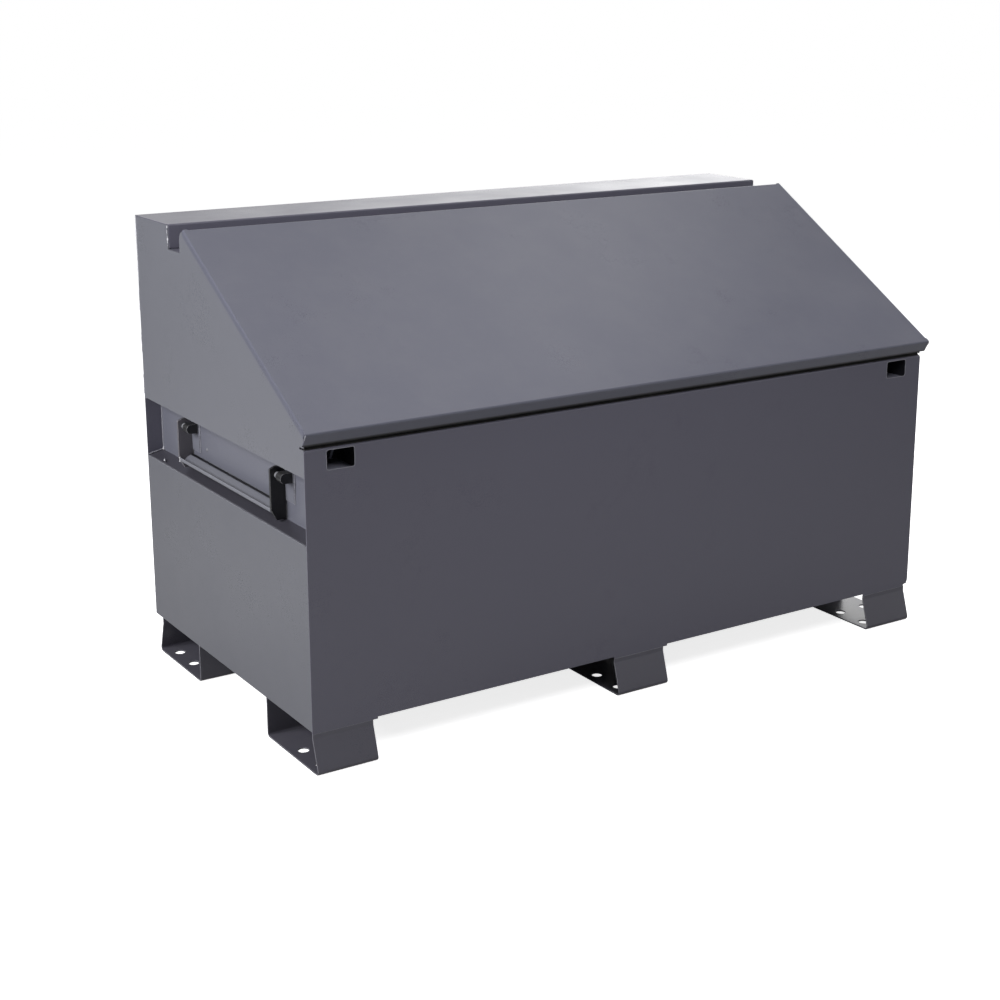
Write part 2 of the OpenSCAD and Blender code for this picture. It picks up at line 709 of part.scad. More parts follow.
// Bracket under the lid; its stud ends beside the rod's eye, where the linkage is left open
module lid_bracket(right) on_side(right, zinc) on_slope() {
    web = spring_inset + eye_width / 2 + face_gap + web_gap;
    along_y(stud_along - bracket_span / 2, stud_along + bracket_span / 2) bent_sheet([
        [web + spring_base_plate / 2, -stud_below - bracket_leg],
        [web + spring_base_plate / 2, -lid_sheet - spring_base_plate / 2],
        [web + bracket_base, -lid_sheet - spring_base_plate / 2]
    ], spring_base_plate, bracket_bend);
    translate([0, stud_along, -stud_below]) rod_x(lid_stud_r, web - web_gap, web + over);
}

echo(hinge_axis = [hinge_axis[0] - middle, hinge_axis[1]], lid_slope = lid_slope, lid_slant = lid_slant);
echo(lower_pivot = [lower_pivot[0] - middle, lower_pivot[1]]);
echo(spring_closed = spring_closed, spring_open = spring_open);
echo(heading = spring_heading, swing = spring_swing);
echo(handle_pivot = [-body_length / 2 + pivot_in, arm_front - middle, pivot_height]);
echo(feet = foot_places, tab_slot = [tab_slot_from, tab_slot_to], housing_floor = housing_floor);
echo(middle = middle, tab_from = tab_from, tab_reach = tab_reach, toe = foot_toe, nose = lid_nose);

front_panel();
rear_panel();
floor_pan();
upper_side(false);  // left_upper_side
upper_side(true);  // right_upper_side
lower_side(false);  // left_lower_side
lower_side(true);  // right_lower_side
handle_channel(false);  // left_handle_channel
handle_channel(true);  // right_handle_channel
top_shelf();
hinge_trough();
hinge_body_leaf();
hinge_pin();
front_seal();
side_seal(false);  // left_seal
side_seal(true);  // right_seal
lock_housing(false);  // left_lock_housing
lock_housing(true);  // right_lock_housing
foot(0, false);  // front_left_foot
foot(1, false);  // front_middle_foot
foot(2, false);  // front_right_foot
foot(0, true);  // rear_left_foot
foot(1, true);  // rear_middle_foot
foot(2, true);  // rear_right_foot
handle_bracket(false, false);  // left_front_bracket
handle_bracket(false, true);  // left_rear_bracket
handle_bracket(true, false);  // right_front_bracket
handle_bracket(true, true);  // right_rear_bracket
handle_pin(false, false);  // left_front_pin
handle_pin(false, true);  // left_rear_pin
handle_pin(true, false);  // right_front_pin
handle_pin(true, true);  // right_rear_pin
channel_rivets();
spring_bracket(false);  // left_spring_bracket
spring_bracket(true);  // right_spring_bracket
lid_skin();
lid_front_channel();
rib(-rib_spread);  // left_rib
rib(0);  // middle_rib
rib(rib_spread);  // right_rib
lock_tab(false);  // left_lock_tab
lock_tab(true);  // right_lock_tab
hinge_lid_leaf();
lid_bracket(false);  // left_lid_bracket
lid_bracket(true);  // right_lid_bracket
handle_arm(false, false);  // left_front_arm
handle_arm(false, true);  // left_rear_arm
grip(false);  // left_grip
handle_arm(true, false);  // right_front_arm
handle_arm(true, true);  // right_rear_arm
grip(true);  // right_grip
spring_cylinder(false);  // left_spring_cylinder
spring_cylinder(true);  // right_spring_cylinder
spring_rod(false);  // left_spring_rod
spring_rod(true);  // right_spring_rod
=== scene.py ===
# %% [markdown]
# A jobsite storage box: bent and welded sheet steel in a grey powder coat, with a sloping lid that
# swings on a piano hinge, two drop handles, two gas springs and six feet made for casters.
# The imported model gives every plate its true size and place. This lesson gives the plates the
# things that a flat solid lacks: softened edges, coat, welds, rivets, rubber and bright metal.

# %% Load the frame
import json
import math
import bmesh
import bpy
from mathutils import Matrix, Vector


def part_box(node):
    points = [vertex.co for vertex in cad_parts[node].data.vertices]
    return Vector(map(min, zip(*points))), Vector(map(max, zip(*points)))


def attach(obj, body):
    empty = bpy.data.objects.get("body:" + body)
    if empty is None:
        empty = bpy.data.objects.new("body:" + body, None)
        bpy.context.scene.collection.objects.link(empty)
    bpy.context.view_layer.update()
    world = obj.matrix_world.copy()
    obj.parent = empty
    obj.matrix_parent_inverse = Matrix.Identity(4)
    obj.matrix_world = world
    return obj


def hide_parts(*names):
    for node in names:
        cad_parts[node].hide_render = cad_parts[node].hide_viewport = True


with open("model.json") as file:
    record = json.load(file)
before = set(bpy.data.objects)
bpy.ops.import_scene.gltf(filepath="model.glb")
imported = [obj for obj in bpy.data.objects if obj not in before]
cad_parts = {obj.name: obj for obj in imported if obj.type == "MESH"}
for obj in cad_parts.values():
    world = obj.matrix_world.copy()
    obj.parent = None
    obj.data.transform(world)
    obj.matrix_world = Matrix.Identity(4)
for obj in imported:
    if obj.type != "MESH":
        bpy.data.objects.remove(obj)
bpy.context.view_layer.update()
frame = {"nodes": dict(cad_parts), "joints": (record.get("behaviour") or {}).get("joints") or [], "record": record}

NODES = frame["nodes"]
JOINTS = {joint["name"]: joint for joint in frame["joints"]}
BODY_OF = {node: body for body, nodes in frame["record"]["behaviour"]["bodies"].items() for node in nodes}
MM = 0.001

# %% [markdown]
# The camera comes first, because everything after it is judged through it. The photograph was
# taken from the box's front left, a little above the lid. A long lens is written as millimetres
# on a 36 mm sensor; the small shift slides the picture, as moving the film behind a lens does.

# %% Camera
CAMERA_PLACE = Vector((-2.0858, -3.1080, 1.4309))
CAMERA_HEADING = math.radians(33.666)
CAMERA_DOWN = math.radians(14.418)
CAMERA_ROLL = math.radians(0.18)
LENS, SENSOR = 63.38, 36
SHIFT_RIGHT, SHIFT_UP = -0.0383, -0.0680
camera_data = bpy.data.cameras.new("camera")
camera_data.lens = LENS
camera_data.sensor_width = SENSOR
camera_data.shift_x = SHIFT_RIGHT
camera_data.shift_y = SHIFT_UP
camera = bpy.data.objects.new("camera", camera_data)
bpy.context.scene.collection.objects.link(camera)
look = Vector((
    math.sin(CAMERA_HEADING) * math.cos(CAMERA_DOWN),
    math.cos(CAMERA_HEADING) * math.cos(CAMERA_DOWN),
    -math.sin(CAMERA_DOWN)
))
turn = look.to_track_quat("-Z", "Y").to_matrix() @ Matrix.Rotation(CAMERA_ROLL, 3, "Z")
camera.matrix_world = Matrix.Translation(CAMERA_PLACE) @ turn.to_4x4()
bpy.context.scene.camera = camera
bpy.context.scene.view_settings.view_transform = "Standard"
print("camera looks along", [round(v, 3) for v in look])

# %% [markdown]
# What is drawn below is placed in the maker's own sizes: millimetres from the left side, from
# the front face and from the floor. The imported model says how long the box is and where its
# front face lies, and its plates and joints are read back in the same millimetres. The lid has
# its own pair of numbers: how far up the slope from its tip, where the skin and the skirt would
# meet if the bend were sharp, and how far above the skin. SLANT is how long the slope is. A flag
# mirrors a place to the right-hand side.

# %% Places on the box and on the lid
SIDES = ("left", "right")
front_low, front_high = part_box("front_panel")
LENGTH = round((front_high.x - front_low.x) / MM, 3)
MIDDLE = round(-front_low.y / MM, 3)
SLOPE = math.radians(30.194)
TIP = (-20.5, 654.0)
SLANT = 599.89
UP_SLOPE = Vector((0, math.cos(SLOPE), math.sin(SLOPE)))
OFF_LID = Vector((0, -math.sin(SLOPE), math.cos(SLOPE)))


def at(x, y, z, right=False):
    across = LENGTH / 2 - x if right else x - LENGTH / 2
    return Vector((across, y - MIDDLE, z)) * MM


def on_lid(x, up, off, right=False):
    y = TIP[0] + up * math.cos(SLOPE) - off * math.sin(SLOPE)
    z = TIP[1] + up * math.sin(SLOPE) + off * math.cos(SLOPE)
    return at(x, y, z, right)


def inward(right):
    return (-1 if right else 1, 0, 0)


def from_corner(place):
    return [round(v / MM + offset, 3) for v, offset in zip(place, (LENGTH / 2, MIDDLE, 0))]


def node_box(node):
    return [from_corner(corner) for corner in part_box(node)]


def joint_place(joint):
    return from_corner(JOINTS[joint]["pos_m"])


print("length", LENGTH, "mm; rear edge of the lid at", [round(v, 3) for v in on_lid(0, SLANT, 0)])

# %% [markdown]
# A material is a small graph. These helpers make nodes, join sockets and build node groups, so
# that the cells below read as lists of what feeds what. A group is a reusable effect with named
# inputs and outputs; it gives out colours, masks and heights, and the shader stays outside it.

# %% Helpers for node graphs
NOISE_AVERAGE = 0.5

def add(tree, kind, values=None, **settings):
    made = tree.nodes.new(kind)
    for key, value in settings.items():
        setattr(made, key, value)
    for key, value in (values or {}).items():
        if isinstance(value, bpy.types.NodeSocket):
            tree.links.new(value, made.inputs[key])
        else:
            made.inputs[key].default_value = value
    return made


def join(tree, source, target):
    tree.links.new(source, target)


def maths(tree, operation, first, second=None, clamp=False):
    values = {0: first} if second is None else {0: first, 1: second}
    return add(tree, "ShaderNodeMath", values, operation=operation, use_clamp=clamp).outputs[0]


def noise(tree, where, scale, detail, rough):
    values = {"Vector": where, "Scale": scale, "Detail": detail, "Roughness": rough}
    return add(tree, "ShaderNodeTexNoise", values).outputs["Fac"]


def swing(tree, value, amount):
    return maths(tree, "MULTIPLY", maths(tree, "SUBTRACT", value, NOISE_AVERAGE), amount)


def ramp(tree, value, low, high, bottom=0.0, top=1.0):
    values = {"Value": value, "From Min": low, "From Max": high, "To Min": bottom, "To Max": top}
    return add(tree, "ShaderNodeMapRange", values, interpolation_type="SMOOTHSTEP").outputs["Result"]


def mix_colour(tree, share, first, second):
    values = {0: share, 6: first, 7: second}
    return add(tree, "ShaderNodeMix", values, data_type="RGBA").outputs[2]


def bumped(tree, shader, height, strength, distance):
    bump = add(tree, "ShaderNodeBump", {"Height": height, "Strength": strength, "Distance": distance})
    join(tree, bump.outputs[0], shader.inputs["Normal"])


def group(name, inputs, outputs):
    tree = bpy.data.node_groups.new(name, "ShaderNodeTree")
    for label, kind, value in inputs:
        socket = tree.interface.new_socket(label, in_out="INPUT", socket_type="NodeSocket" + kind)
        socket.default_value = value
    for label, kind in outputs:
        tree.interface.new_socket(label, in_out="OUTPUT", socket_type="NodeSocket" + kind)
    return tree, tree.nodes.new("NodeGroupInput").outputs, tree.nodes.new("NodeGroupOutput").inputs


def new_material(name):
    material = bpy.data.materials.new(name)
    material.use_nodes = True
    return material, material.node_tree, material.node_tree.nodes["Principled BSDF"]


def rgb(r, g, b):
    shares = (r / 255, g / 255, b / 255)
    linear = [v / 12.92 if v <= 0.04045 else ((v + 0.055) / 1.055) ** 2.4 for v in shares]
    return (*linear, 1.0)


print("mid grey in linear light", [round(v, 3) for v in rgb(118, 118, 118)])

# %% [markdown]
# Powder coat is plastic dust, charged, blown on to the steel and baked until it flows. It never
# flows quite flat: up close it has the skin of an orange, over a hand's width it is a little
# cloudy, and over a whole panel the thin sheet under it waves. One group gives all three. A scale
# is how many lumps of noise fit in a metre, and a swing is how far a value moves either way.

# %% Powder coat group
CLOUDS_PER_METRE, WAVES_PER_METRE = 5.0, 2.2
SPECKS_PER_METRE, PEEL_PER_METRE = 700.0, 420.0
CLOUD_ROUGHENS, SPECK_ROUGHENS = 0.22, 0.16
coat_group, given, out = group(
    "powder coat",
    [
        ("Colour", "Color", (0.1, 0.1, 0.12, 1)), ("Cloud", "Float", 0.06), ("Speck", "Float", 0.1),
        ("Roughness", "Float", 0.45), ("Peel", "Float", 0.2), ("Wave", "Float", 0.5)
    ],
    [("Colour", "Color"), ("Roughness", "Float"), ("Height", "Float")]
)
tree = coat_group
place = add(tree, "ShaderNodeTexCoord").outputs["Object"]
cloud = noise(tree, place, CLOUDS_PER_METRE, detail=4.0, rough=0.55)
speck = noise(tree, place, SPECKS_PER_METRE, detail=2.0, rough=0.6)
peel = noise(tree, place, PEEL_PER_METRE, detail=2.0, rough=0.45)
wave = noise(tree, place, WAVES_PER_METRE, detail=1.0, rough=0.4)
blotches = maths(tree, "ADD", swing(tree, cloud, given["Cloud"]), swing(tree, speck, given["Speck"]))
light = maths(tree, "ADD", blotches, 1.0)
shade = add(tree, "ShaderNodeVectorMath", {0: given["Colour"], "Scale": light}, operation="SCALE")
join(tree, shade.outputs[0], out["Colour"])
smear = maths(tree, "ADD", swing(tree, cloud, CLOUD_ROUGHENS), swing(tree, speck, SPECK_ROUGHENS))
join(tree, maths(tree, "ADD", smear, given["Roughness"]), out["Roughness"])
peel_height = maths(tree, "MULTIPLY", peel, given["Peel"])
wave_height = maths(tree, "MULTIPLY", wave, given["Wave"])
join(tree, maths(tree, "ADD", peel_height, wave_height), out["Height"])
print("powder coat group:", len(tree.nodes), "nodes")

# %% [markdown]
# Wear shows first where a plate has an edge, because boots and tools reach it there. The edge
# itself is found in the mesh, when it is softened below, and kept as an attribute called edge.
# The first group breaks that line up with noise: Worn is where the coat is gone, and Thin is
# where it only pulled thin. The second lets dust settle in drifts on the faces that look up.

# %% Edge wear and dust groups
NO_WEAR_BELOW, WEAR_REACH = 0.98, 0.5
EDGE_CORE, EDGE_WHOLE = (0.5, 1.0), (0.1, 1.0)
THIN_PATCHES, THIN_LEAST = (0.2, 0.6), 0.4
DRIFTS_PER_METRE, DRIFT_DENSITY = 9.0, (0.35, 0.75)
LOOKING_UP = (0.6, 1.0)
wear_group, given, out = group(
    "edge wear",
    [("Amount", "Float", 0.5), ("Patch scale", "Float", 30.0)],
    [("Worn", "Float"), ("Thin", "Float")]
)
tree = wear_group
place = add(tree, "ShaderNodeTexCoord").outputs["Object"]
edge = add(tree, "ShaderNodeAttribute", attribute_name="edge").outputs["Fac"]
patches = noise(tree, place, given["Patch scale"], detail=5.0, rough=0.65)
worn_above = maths(tree, "SUBTRACT", NO_WEAR_BELOW, maths(tree, "MULTIPLY", given["Amount"], WEAR_REACH))
worn = maths(tree, "MULTIPLY", ramp(tree, patches, worn_above, 1.0), ramp(tree, edge, *EDGE_CORE))
join(tree, worn, out["Worn"])
patchy = ramp(tree, patches, *THIN_PATCHES, THIN_LEAST, 1.0)
join(tree, maths(tree, "MULTIPLY", ramp(tree, edge, *EDGE_WHOLE), patchy), out["Thin"])

dust_group, given, out = group("dust", [("Amount", "Float", 0.3)], [("Dust", "Float")])
tree = dust_group
coords = add(tree, "ShaderNodeTexCoord")
up = add(tree, "ShaderNodeSeparateXYZ", {0: coords.outputs["Normal"]}).outputs["Z"]
drift = noise(tree, coords.outputs["Object"], DRIFTS_PER_METRE, detail=6.0, rough=0.7)
settled = maths(tree, "MULTIPLY", ramp(tree, up, *LOOKING_UP), ramp(tree, drift, *DRIFT_DENSITY))
join(tree, maths(tree, "MULTIPLY", settled, given["Amount"]), out["Dust"])
print("edge wear:", len(wear_group.nodes), "nodes; dust:", len(dust_group.nodes), "nodes")

# %% [markdown]
# All painted plates share one recipe with other numbers: the coat group sets colour, roughness
# and height, dust lightens what faces up, and an edge, where the coat pulls thin, is paler. That
# paler edge is also a painted highlight, the bright line that an edge catches. Rim says how much
# paler, and so how strong the painted highlight is. The shader has no metal in it, because light
# never gets through the coat.

# %% Coated metal
PRIMER_AND_EDGE_HIGHLIGHT = rgb(168, 168, 174)
DUST = rgb(150, 148, 146)
DUST_DULLS, THIN_SHINES = 0.35, 0.1
CLOUDY = 0.03

def coated(name, colour, rough=0.32, peel=0.2, wave=0.3, wear=0.25, dust=0.06, speck=0.1, rim=0.45):
    material, tree, shader = new_material(name)
    coat = add(tree, "ShaderNodeGroup", {
        "Colour": colour, "Cloud": CLOUDY, "Speck": speck, "Roughness": rough, "Peel": peel, "Wave": wave
    }, node_tree=coat_group)
    rub = add(tree, "ShaderNodeGroup", {"Amount": wear}, node_tree=wear_group)
    powder = add(tree, "ShaderNodeGroup", {"Amount": dust}, node_tree=dust_group)
    worn, thin, settled = rub.outputs["Worn"], rub.outputs["Thin"], powder.outputs["Dust"]
    dusty = mix_colour(tree, settled, coat.outputs["Colour"], DUST)
    pale = mix_colour(tree, maths(tree, "MULTIPLY", thin, rim), dusty, PRIMER_AND_EDGE_HIGHLIGHT)
    join(tree, mix_colour(tree, worn, pale, PRIMER_AND_EDGE_HIGHLIGHT), shader.inputs["Base Color"])
    dulled = maths(tree, "ADD", coat.outputs["Roughness"], maths(tree, "MULTIPLY", settled, DUST_DULLS))
    shined = maths(tree, "SUBTRACT", dulled, maths(tree, "MULTIPLY", thin, THIN_SHINES), clamp=True)
    join(tree, shined, shader.inputs["Roughness"])
    bumped(tree, shader, coat.outputs["Height"], strength=0.35, distance=0.5 * MM)
    return material


# Copies of the one coat, lighter or darker by part, are painted light and shade. The upper sides, the recess and
# the grips are lit copies, and the feet a shaded copy. A higher rim paints stronger highlight lines on the edges.
GRAPHITE = coated("graphite_coat", rgb(85, 84, 96), rim=0.15)
SIDE_GRAPHITE = coated("side_coat", rgb(85, 86, 93), rim=0.6)
LIT_UPPER_GRAPHITE = coated("upper_side_coat_lit", rgb(95, 96, 103), rim=0.6)
LID_GRAPHITE = coated("lid_coat", rgb(84, 85, 97))
SHADED_FOOT_GRAPHITE = coated("foot_coat_shaded", rgb(76, 75, 84), rim=0.8)
LIT_RECESS_GRAPHITE = coated("recess_coat_lit", rgb(92, 93, 103), wave=0.2)
LIT_GRIP_GRAPHITE = coated("grip_coat_lit", rgb(99, 100, 108), rim=0.4)
# The lock housings get a near-black coat: painted shade inside the openings.
HOUSING_SHADE = coated("housing_shade_coat", rgb(34, 34, 39), wave=0.0)
BLACK = coated("black_paint", rgb(27, 27, 29), rough=0.38, peel=0.3, wave=0.0, wear=0.3, rim=0.9)
# The rear arms are a lighter copy of the black paint: painted light, as they face the light more.
LIT_REAR_ARM_BLACK = coated("rear_arm_paint_lit", rgb(84, 82, 88), rough=0.4, peel=0.3, wave=0.0, wear=0.3, rim=0.9)
SPRING_BLACK = coated("spring_black", rgb(24, 24, 26), rough=0.28, peel=0.1, wave=0.0, wear=0.2, dust=0.02)
# The weld coat is paler than the coat that covers the welds: a painted highlight along the beads.
WELD_HIGHLIGHT = coated("weld_highlight_coat", rgb(128, 128, 136), rough=0.35, peel=0.6, wave=0.0, wear=0.6, speck=0.3)
# The near-white weld coat paints the glint on a few short welds at corners and edges.
WELD_GLINT = coated("weld_glint_coat", rgb(188, 188, 193), rough=0.3, peel=0.6, wave=0.0, wear=0.6, speck=0.2)
print("a coated finish has", len(GRAPHITE.node_tree.nodes), "nodes, three of them groups")

# %% [markdown]
# Some pieces carry two colours. A handle bracket has its flange in the colour of the recess and
# its ear in black. The rest are painted shade and light: the grip is black along its inner edge,
# a painted shadow in the gap by the recess wall; the recess is dark on its ledge, painted shade
# under the lip; the lid's skirt is dark along its lower edge, painted shade where it turns down;
# and a lock housing is pale on its floor, painted light, and dark on its walls, painted shade.
# One material does both, by asking where a point lies or which way it faces, and blending over a
# short range of the answer.

# %% Pieces in two colours, some of them painted shade
def two_tone_and_shade(name, base, other, asked, axis, blend):
    material = base.copy()
    material.name = name
    tree = material.node_tree
    shader = tree.nodes["Principled BSDF"]
    answer = add(tree, "ShaderNodeSeparateXYZ", {0: add(tree, "ShaderNodeTexCoord").outputs[asked]})
    share = ramp(tree, maths(tree, "ABSOLUTE", answer.outputs[axis]), *blend)
    first = shader.inputs["Base Color"].links[0].from_socket
    join(tree, mix_colour(tree, share, first, other), shader.inputs["Base Color"])
    return material


FLANGE_BLEND = [(LENGTH / 2 - x) * MM for x in (31.7, 32.7)]
GRIP_SHADOW_BLEND = [(LENGTH / 2 - x) * MM for x in (27.0, 27.9)]
SKIRT_LOW = node_box("lid_skin")[0][2]
SKIRT_SHADE_BLEND = [(SKIRT_LOW + up) * MM for up in (4.2, 1.2)]
LEVEL_BLEND = (0.6, 0.9)
BRACKET_PAINT = two_tone_and_shade("bracket_paint", BLACK, rgb(98, 99, 108), "Object", "X", FLANGE_BLEND)
# The grip's black inner edge is a painted shadow in the gap by the recess wall.
GRIP_LIT_SHADOW_EDGE = two_tone_and_shade("grip_lit_shadow_edge", LIT_GRIP_GRAPHITE, rgb(20, 20, 22), "Object", "X", GRIP_SHADOW_BLEND)
# The recess's ledge, the faces that look up, is darkened: painted shade under the lip.
RECESS_LIT_SHADED_LEDGE = two_tone_and_shade("recess_lit_shaded_ledge", LIT_RECESS_GRAPHITE, rgb(58, 57, 64), "Normal", "Z", LEVEL_BLEND)
# The lower edge of the lid's skirt is darkened: painted shade where the skirt turns down.
SKIN_SHADED_SKIRT = two_tone_and_shade("skin_shaded_skirt", LID_GRAPHITE, rgb(22, 22, 25), "Object", "Z", SKIRT_SHADE_BLEND)
# A lock housing's floor is pale, painted light, and its walls dark, painted shade.
HOUSING_SHADE_LIT_FLOOR = two_tone_and_shade("housing_shade_lit_floor", HOUSING_SHADE, rgb(104, 104, 116), "Normal", "Z", LEVEL_BLEND)
TWO_TONES = (BRACKET_PAINT, GRIP_LIT_SHADOW_EDGE, RECESS_LIT_SHADED_LEDGE, SKIN_SHADED_SKIRT, HOUSING_SHADE_LIT_FLOOR)
print("two-colour finishes:", [m.name for m in TWO_TONES])

# %% [markdown]
# Bare metal is all reflection, so its life is in the roughness: drawn steel has fine lines
# along it, zinc plate has soft blotches. Rubber is the reverse: nearly black, matt and grainy.

# %% Bare metal and rubber
BLOTCHES_PER_METRE = 120.0
GRAINS_PER_METRE, BLOOMS_PER_METRE = 900.0, 14.0
NOISE_MIDDLE = (0.3, 0.7)
LINES_ROUGHEN, BLOTCHES_ROUGHEN = (-0.06, 0.08), (-0.05, 0.05)
BLOOM_DENSITY, BLOOM_MOST = (0.45, 0.8), 0.25
RUBBER_ROUGH = (0.62, 0.85)

def bare_metal(name, colour, rough, lines_per_metre, blotch, metal=1.0):
    material, tree, shader = new_material(name)
    place = add(tree, "ShaderNodeTexCoord").outputs["Object"]
    drawn_out = add(tree, "ShaderNodeMapping", {"Vector": place, "Scale": lines_per_metre}).outputs[0]
    streak = noise(tree, drawn_out, 1.0, detail=3.0, rough=0.6)
    cloud = noise(tree, place, BLOTCHES_PER_METRE, detail=4.0, rough=0.6)
    tint = ramp(tree, cloud, *NOISE_MIDDLE, 1.0 - blotch, 1.0)
    shade = add(tree, "ShaderNodeVectorMath", {0: colour[:3], "Scale": tint}, operation="SCALE")
    join(tree, shade.outputs[0], shader.inputs["Base Color"])
    lined = ramp(tree, streak, *NOISE_MIDDLE, *LINES_ROUGHEN)
    clouded = ramp(tree, cloud, *NOISE_MIDDLE, *BLOTCHES_ROUGHEN)
    uneven = maths(tree, "ADD", lined, clouded)
    join(tree, maths(tree, "ADD", uneven, rough, clamp=True), shader.inputs["Roughness"])
    bumped(tree, shader, streak, strength=0.2, distance=0.05 * MM)
    shader.inputs["Metallic"].default_value = metal
    return material


def rubber(name, colour, pale):
    material, tree, shader = new_material(name)
    place = add(tree, "ShaderNodeTexCoord").outputs["Object"]
    grain = noise(tree, place, GRAINS_PER_METRE, detail=3.0, rough=0.6)
    bloom = noise(tree, place, BLOOMS_PER_METRE, detail=5.0, rough=0.6)
    bloomed = ramp(tree, bloom, *BLOOM_DENSITY, 0.0, BLOOM_MOST)
    join(tree, mix_colour(tree, bloomed, colour, pale), shader.inputs["Base Color"])
    join(tree, ramp(tree, grain, *NOISE_MIDDLE, *RUBBER_ROUGH), shader.inputs["Roughness"])
    bumped(tree, shader, grain, strength=0.4, distance=0.2 * MM)
    return material


ZINC = bare_metal("zinc_steel", rgb(176, 177, 180), 0.36, (900, 60, 900), 0.2)
DULL_ZINC = bare_metal("dull_zinc", rgb(150, 151, 156), 0.45, (900, 60, 900), 0.15, metal=0.35)
CHROME = bare_metal("chrome_rod", rgb(205, 206, 210), 0.12, (400, 400, 30), 0.06)
RUBBER = rubber("black_rubber", rgb(28, 28, 28), rgb(74, 72, 70))
print("bare finishes:", [m.name for m in (ZINC, DULL_ZINC, CHROME, RUBBER)])

# %% [markdown]
# Laser-cut sheet has square corners; blasting and coat round them off by about half a
# millimetre, and that thin round catches the light as a bright line along every plate. Each
# plate is therefore copied, its loose triangles are merged into clean faces, and a Bevel
# modifier softens what is sharper than a sheet's own bend. The Bevel gives its new faces the
# second material slot, which is how their points are found and marked as edge. The copy then
# stands in for the node.

# %% Soften the edges of a plate
MERGE_WITHIN = 0.002 * MM
FLAT_WITHIN = math.radians(0.3)
SHARP_ABOVE = math.radians(35)
ON_FACE, ON_EDGE = 0, 1

def linked(name, mesh):
    piece = bpy.data.objects.new(name, mesh)
    bpy.context.scene.collection.objects.link(piece)
    return piece


def frozen(piece):
    bpy.context.view_layer.update()
    result = bpy.data.meshes.new_from_object(piece.evaluated_get(bpy.context.evaluated_depsgraph_get()))
    piece.modifiers.clear()
    old = piece.data
    piece.data = result
    bpy.data.meshes.remove(old)


def mark_edges(mesh):
    all_on_edge = {}
    for face in mesh.polygons:
        for v in face.vertices:
            all_on_edge[v] = all_on_edge.get(v, True) and face.material_index == ON_EDGE
    attribute = mesh.attributes.new("edge", "FLOAT", "POINT")
    for v, on_edge in all_on_edge.items():
        attribute.data[v].value = 1.0 if on_edge else 0.0
    for face in mesh.polygons:
        face.material_index = ON_FACE
    mesh.materials.pop()


def clean_copy(node, material):
    mesh = NODES[node].data.copy()
    mesh.materials.clear()
    mesh.materials.append(material)
    mesh.materials.append(material)
    edit = bmesh.new()
    edit.from_mesh(mesh)
    bmesh.ops.remove_doubles(edit, verts=edit.verts, dist=MERGE_WITHIN)
    bmesh.ops.dissolve_limit(edit, angle_limit=FLAT_WITHIN, verts=edit.verts, edges=edit.edges)
    for face in edit.faces:
        face.smooth = True
        face.material_index = ON_FACE
    edit.to_mesh(mesh)
    edit.free()
    return mesh


def softened(node, material, width):
    piece = linked(node + "_finished", clean_copy(node, material))
    bevel = piece.modifiers.new("edge", "BEVEL")
    bevel.width = width
    bevel.segments = 2
    bevel.limit_method = "ANGLE"
    bevel.angle_limit = SHARP_ABOVE
    bevel.material = ON_EDGE
    level = piece.modifiers.new("level", "WEIGHTED_NORMAL")
    level.weight = 100
    level.keep_sharp = True
    frozen(piece)
    mark_edges(piece.data)
    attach(piece, BODY_OF[node])
    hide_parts(node)


print("edges sharper than", round(math.degrees(SHARP_ABOVE)), "degrees are softened")

# %% [markdown]
# Now the plates, body by body. The slot column gives the record's slot for each family; the loop
# below doesn't use it. The sides, the feet, the lid, the recess and the grips each get their own
# version of the one coat, a little lighter or darker: copies that paint the light and shade on
# each part. The last number is the softened width in millimetres: the thick plate of the feet and
# the handles is rounder than thin sheet.

# %% Plates of the body and the lid
def on_both_sides(*kinds):
    return [f"{side}_{kind}" for side in SIDES for kind in kinds]


BODY_PLATES = ["front_panel", "rear_panel", "floor_pan", "top_shelf", "hinge_trough", "hinge_body_leaf"]
FEET = [f"{end}_{place}_foot" for end in ("front", "rear") for place in ("left", "middle", "right")]
RIBS = ["left_rib", "middle_rib", "right_rib"]
LID_PLATES = ["lid_front_channel", *RIBS, "hinge_lid_leaf", *on_both_sides("lock_tab")]
FINISHES = [
    (BODY_PLATES, GRAPHITE, "graphite_coat", 0.6),
    (on_both_sides("lower_side"), SIDE_GRAPHITE, "graphite_coat", 0.6),
    (on_both_sides("upper_side"), LIT_UPPER_GRAPHITE, "graphite_coat", 0.6),
    (FEET, SHADED_FOOT_GRAPHITE, "graphite_coat", 0.8),
    (on_both_sides("handle_channel"), RECESS_LIT_SHADED_LEDGE, "graphite_coat", 0.5),
    (on_both_sides("lock_housing"), HOUSING_SHADE_LIT_FLOOR, "graphite_coat", 0.5),
    (["lid_skin"], SKIN_SHADED_SKIRT, "graphite_coat", 0.5),
    (LID_PLATES, LID_GRAPHITE, "graphite_coat", 0.5),
    (on_both_sides("grip"), GRIP_LIT_SHADOW_EDGE, "graphite_coat", 0.9),
    (on_both_sides("front_bracket", "rear_bracket"), BRACKET_PAINT, "black_paint", 0.5),
    (on_both_sides("front_arm"), BLACK, "black_paint", 1.0),
    (on_both_sides("rear_arm"), LIT_REAR_ARM_BLACK, "black_paint", 1.0),
    (on_both_sides("spring_bracket", "lid_bracket"), ZINC, "zinc_steel", 0.4)
]
for plates, material, slot, width in FINISHES:
    for node in plates:
        softened(node, material, width * MM)
    print(material.name, len(plates), "plates")

# %% [markdown]
# Pins, rods, tubes and rivets come off a lathe, so they are made the same way: a profile of
# length along the axis against radius, in millimetres, turned about the axis. Chamfers, grooves
# and domes are points of it. Where a profile starts and ends at radius 0 the piece is solid; one
# that comes back to its first point is a ring. At radius 0 a ring is one point, so the faces that
# reach it are triangles.

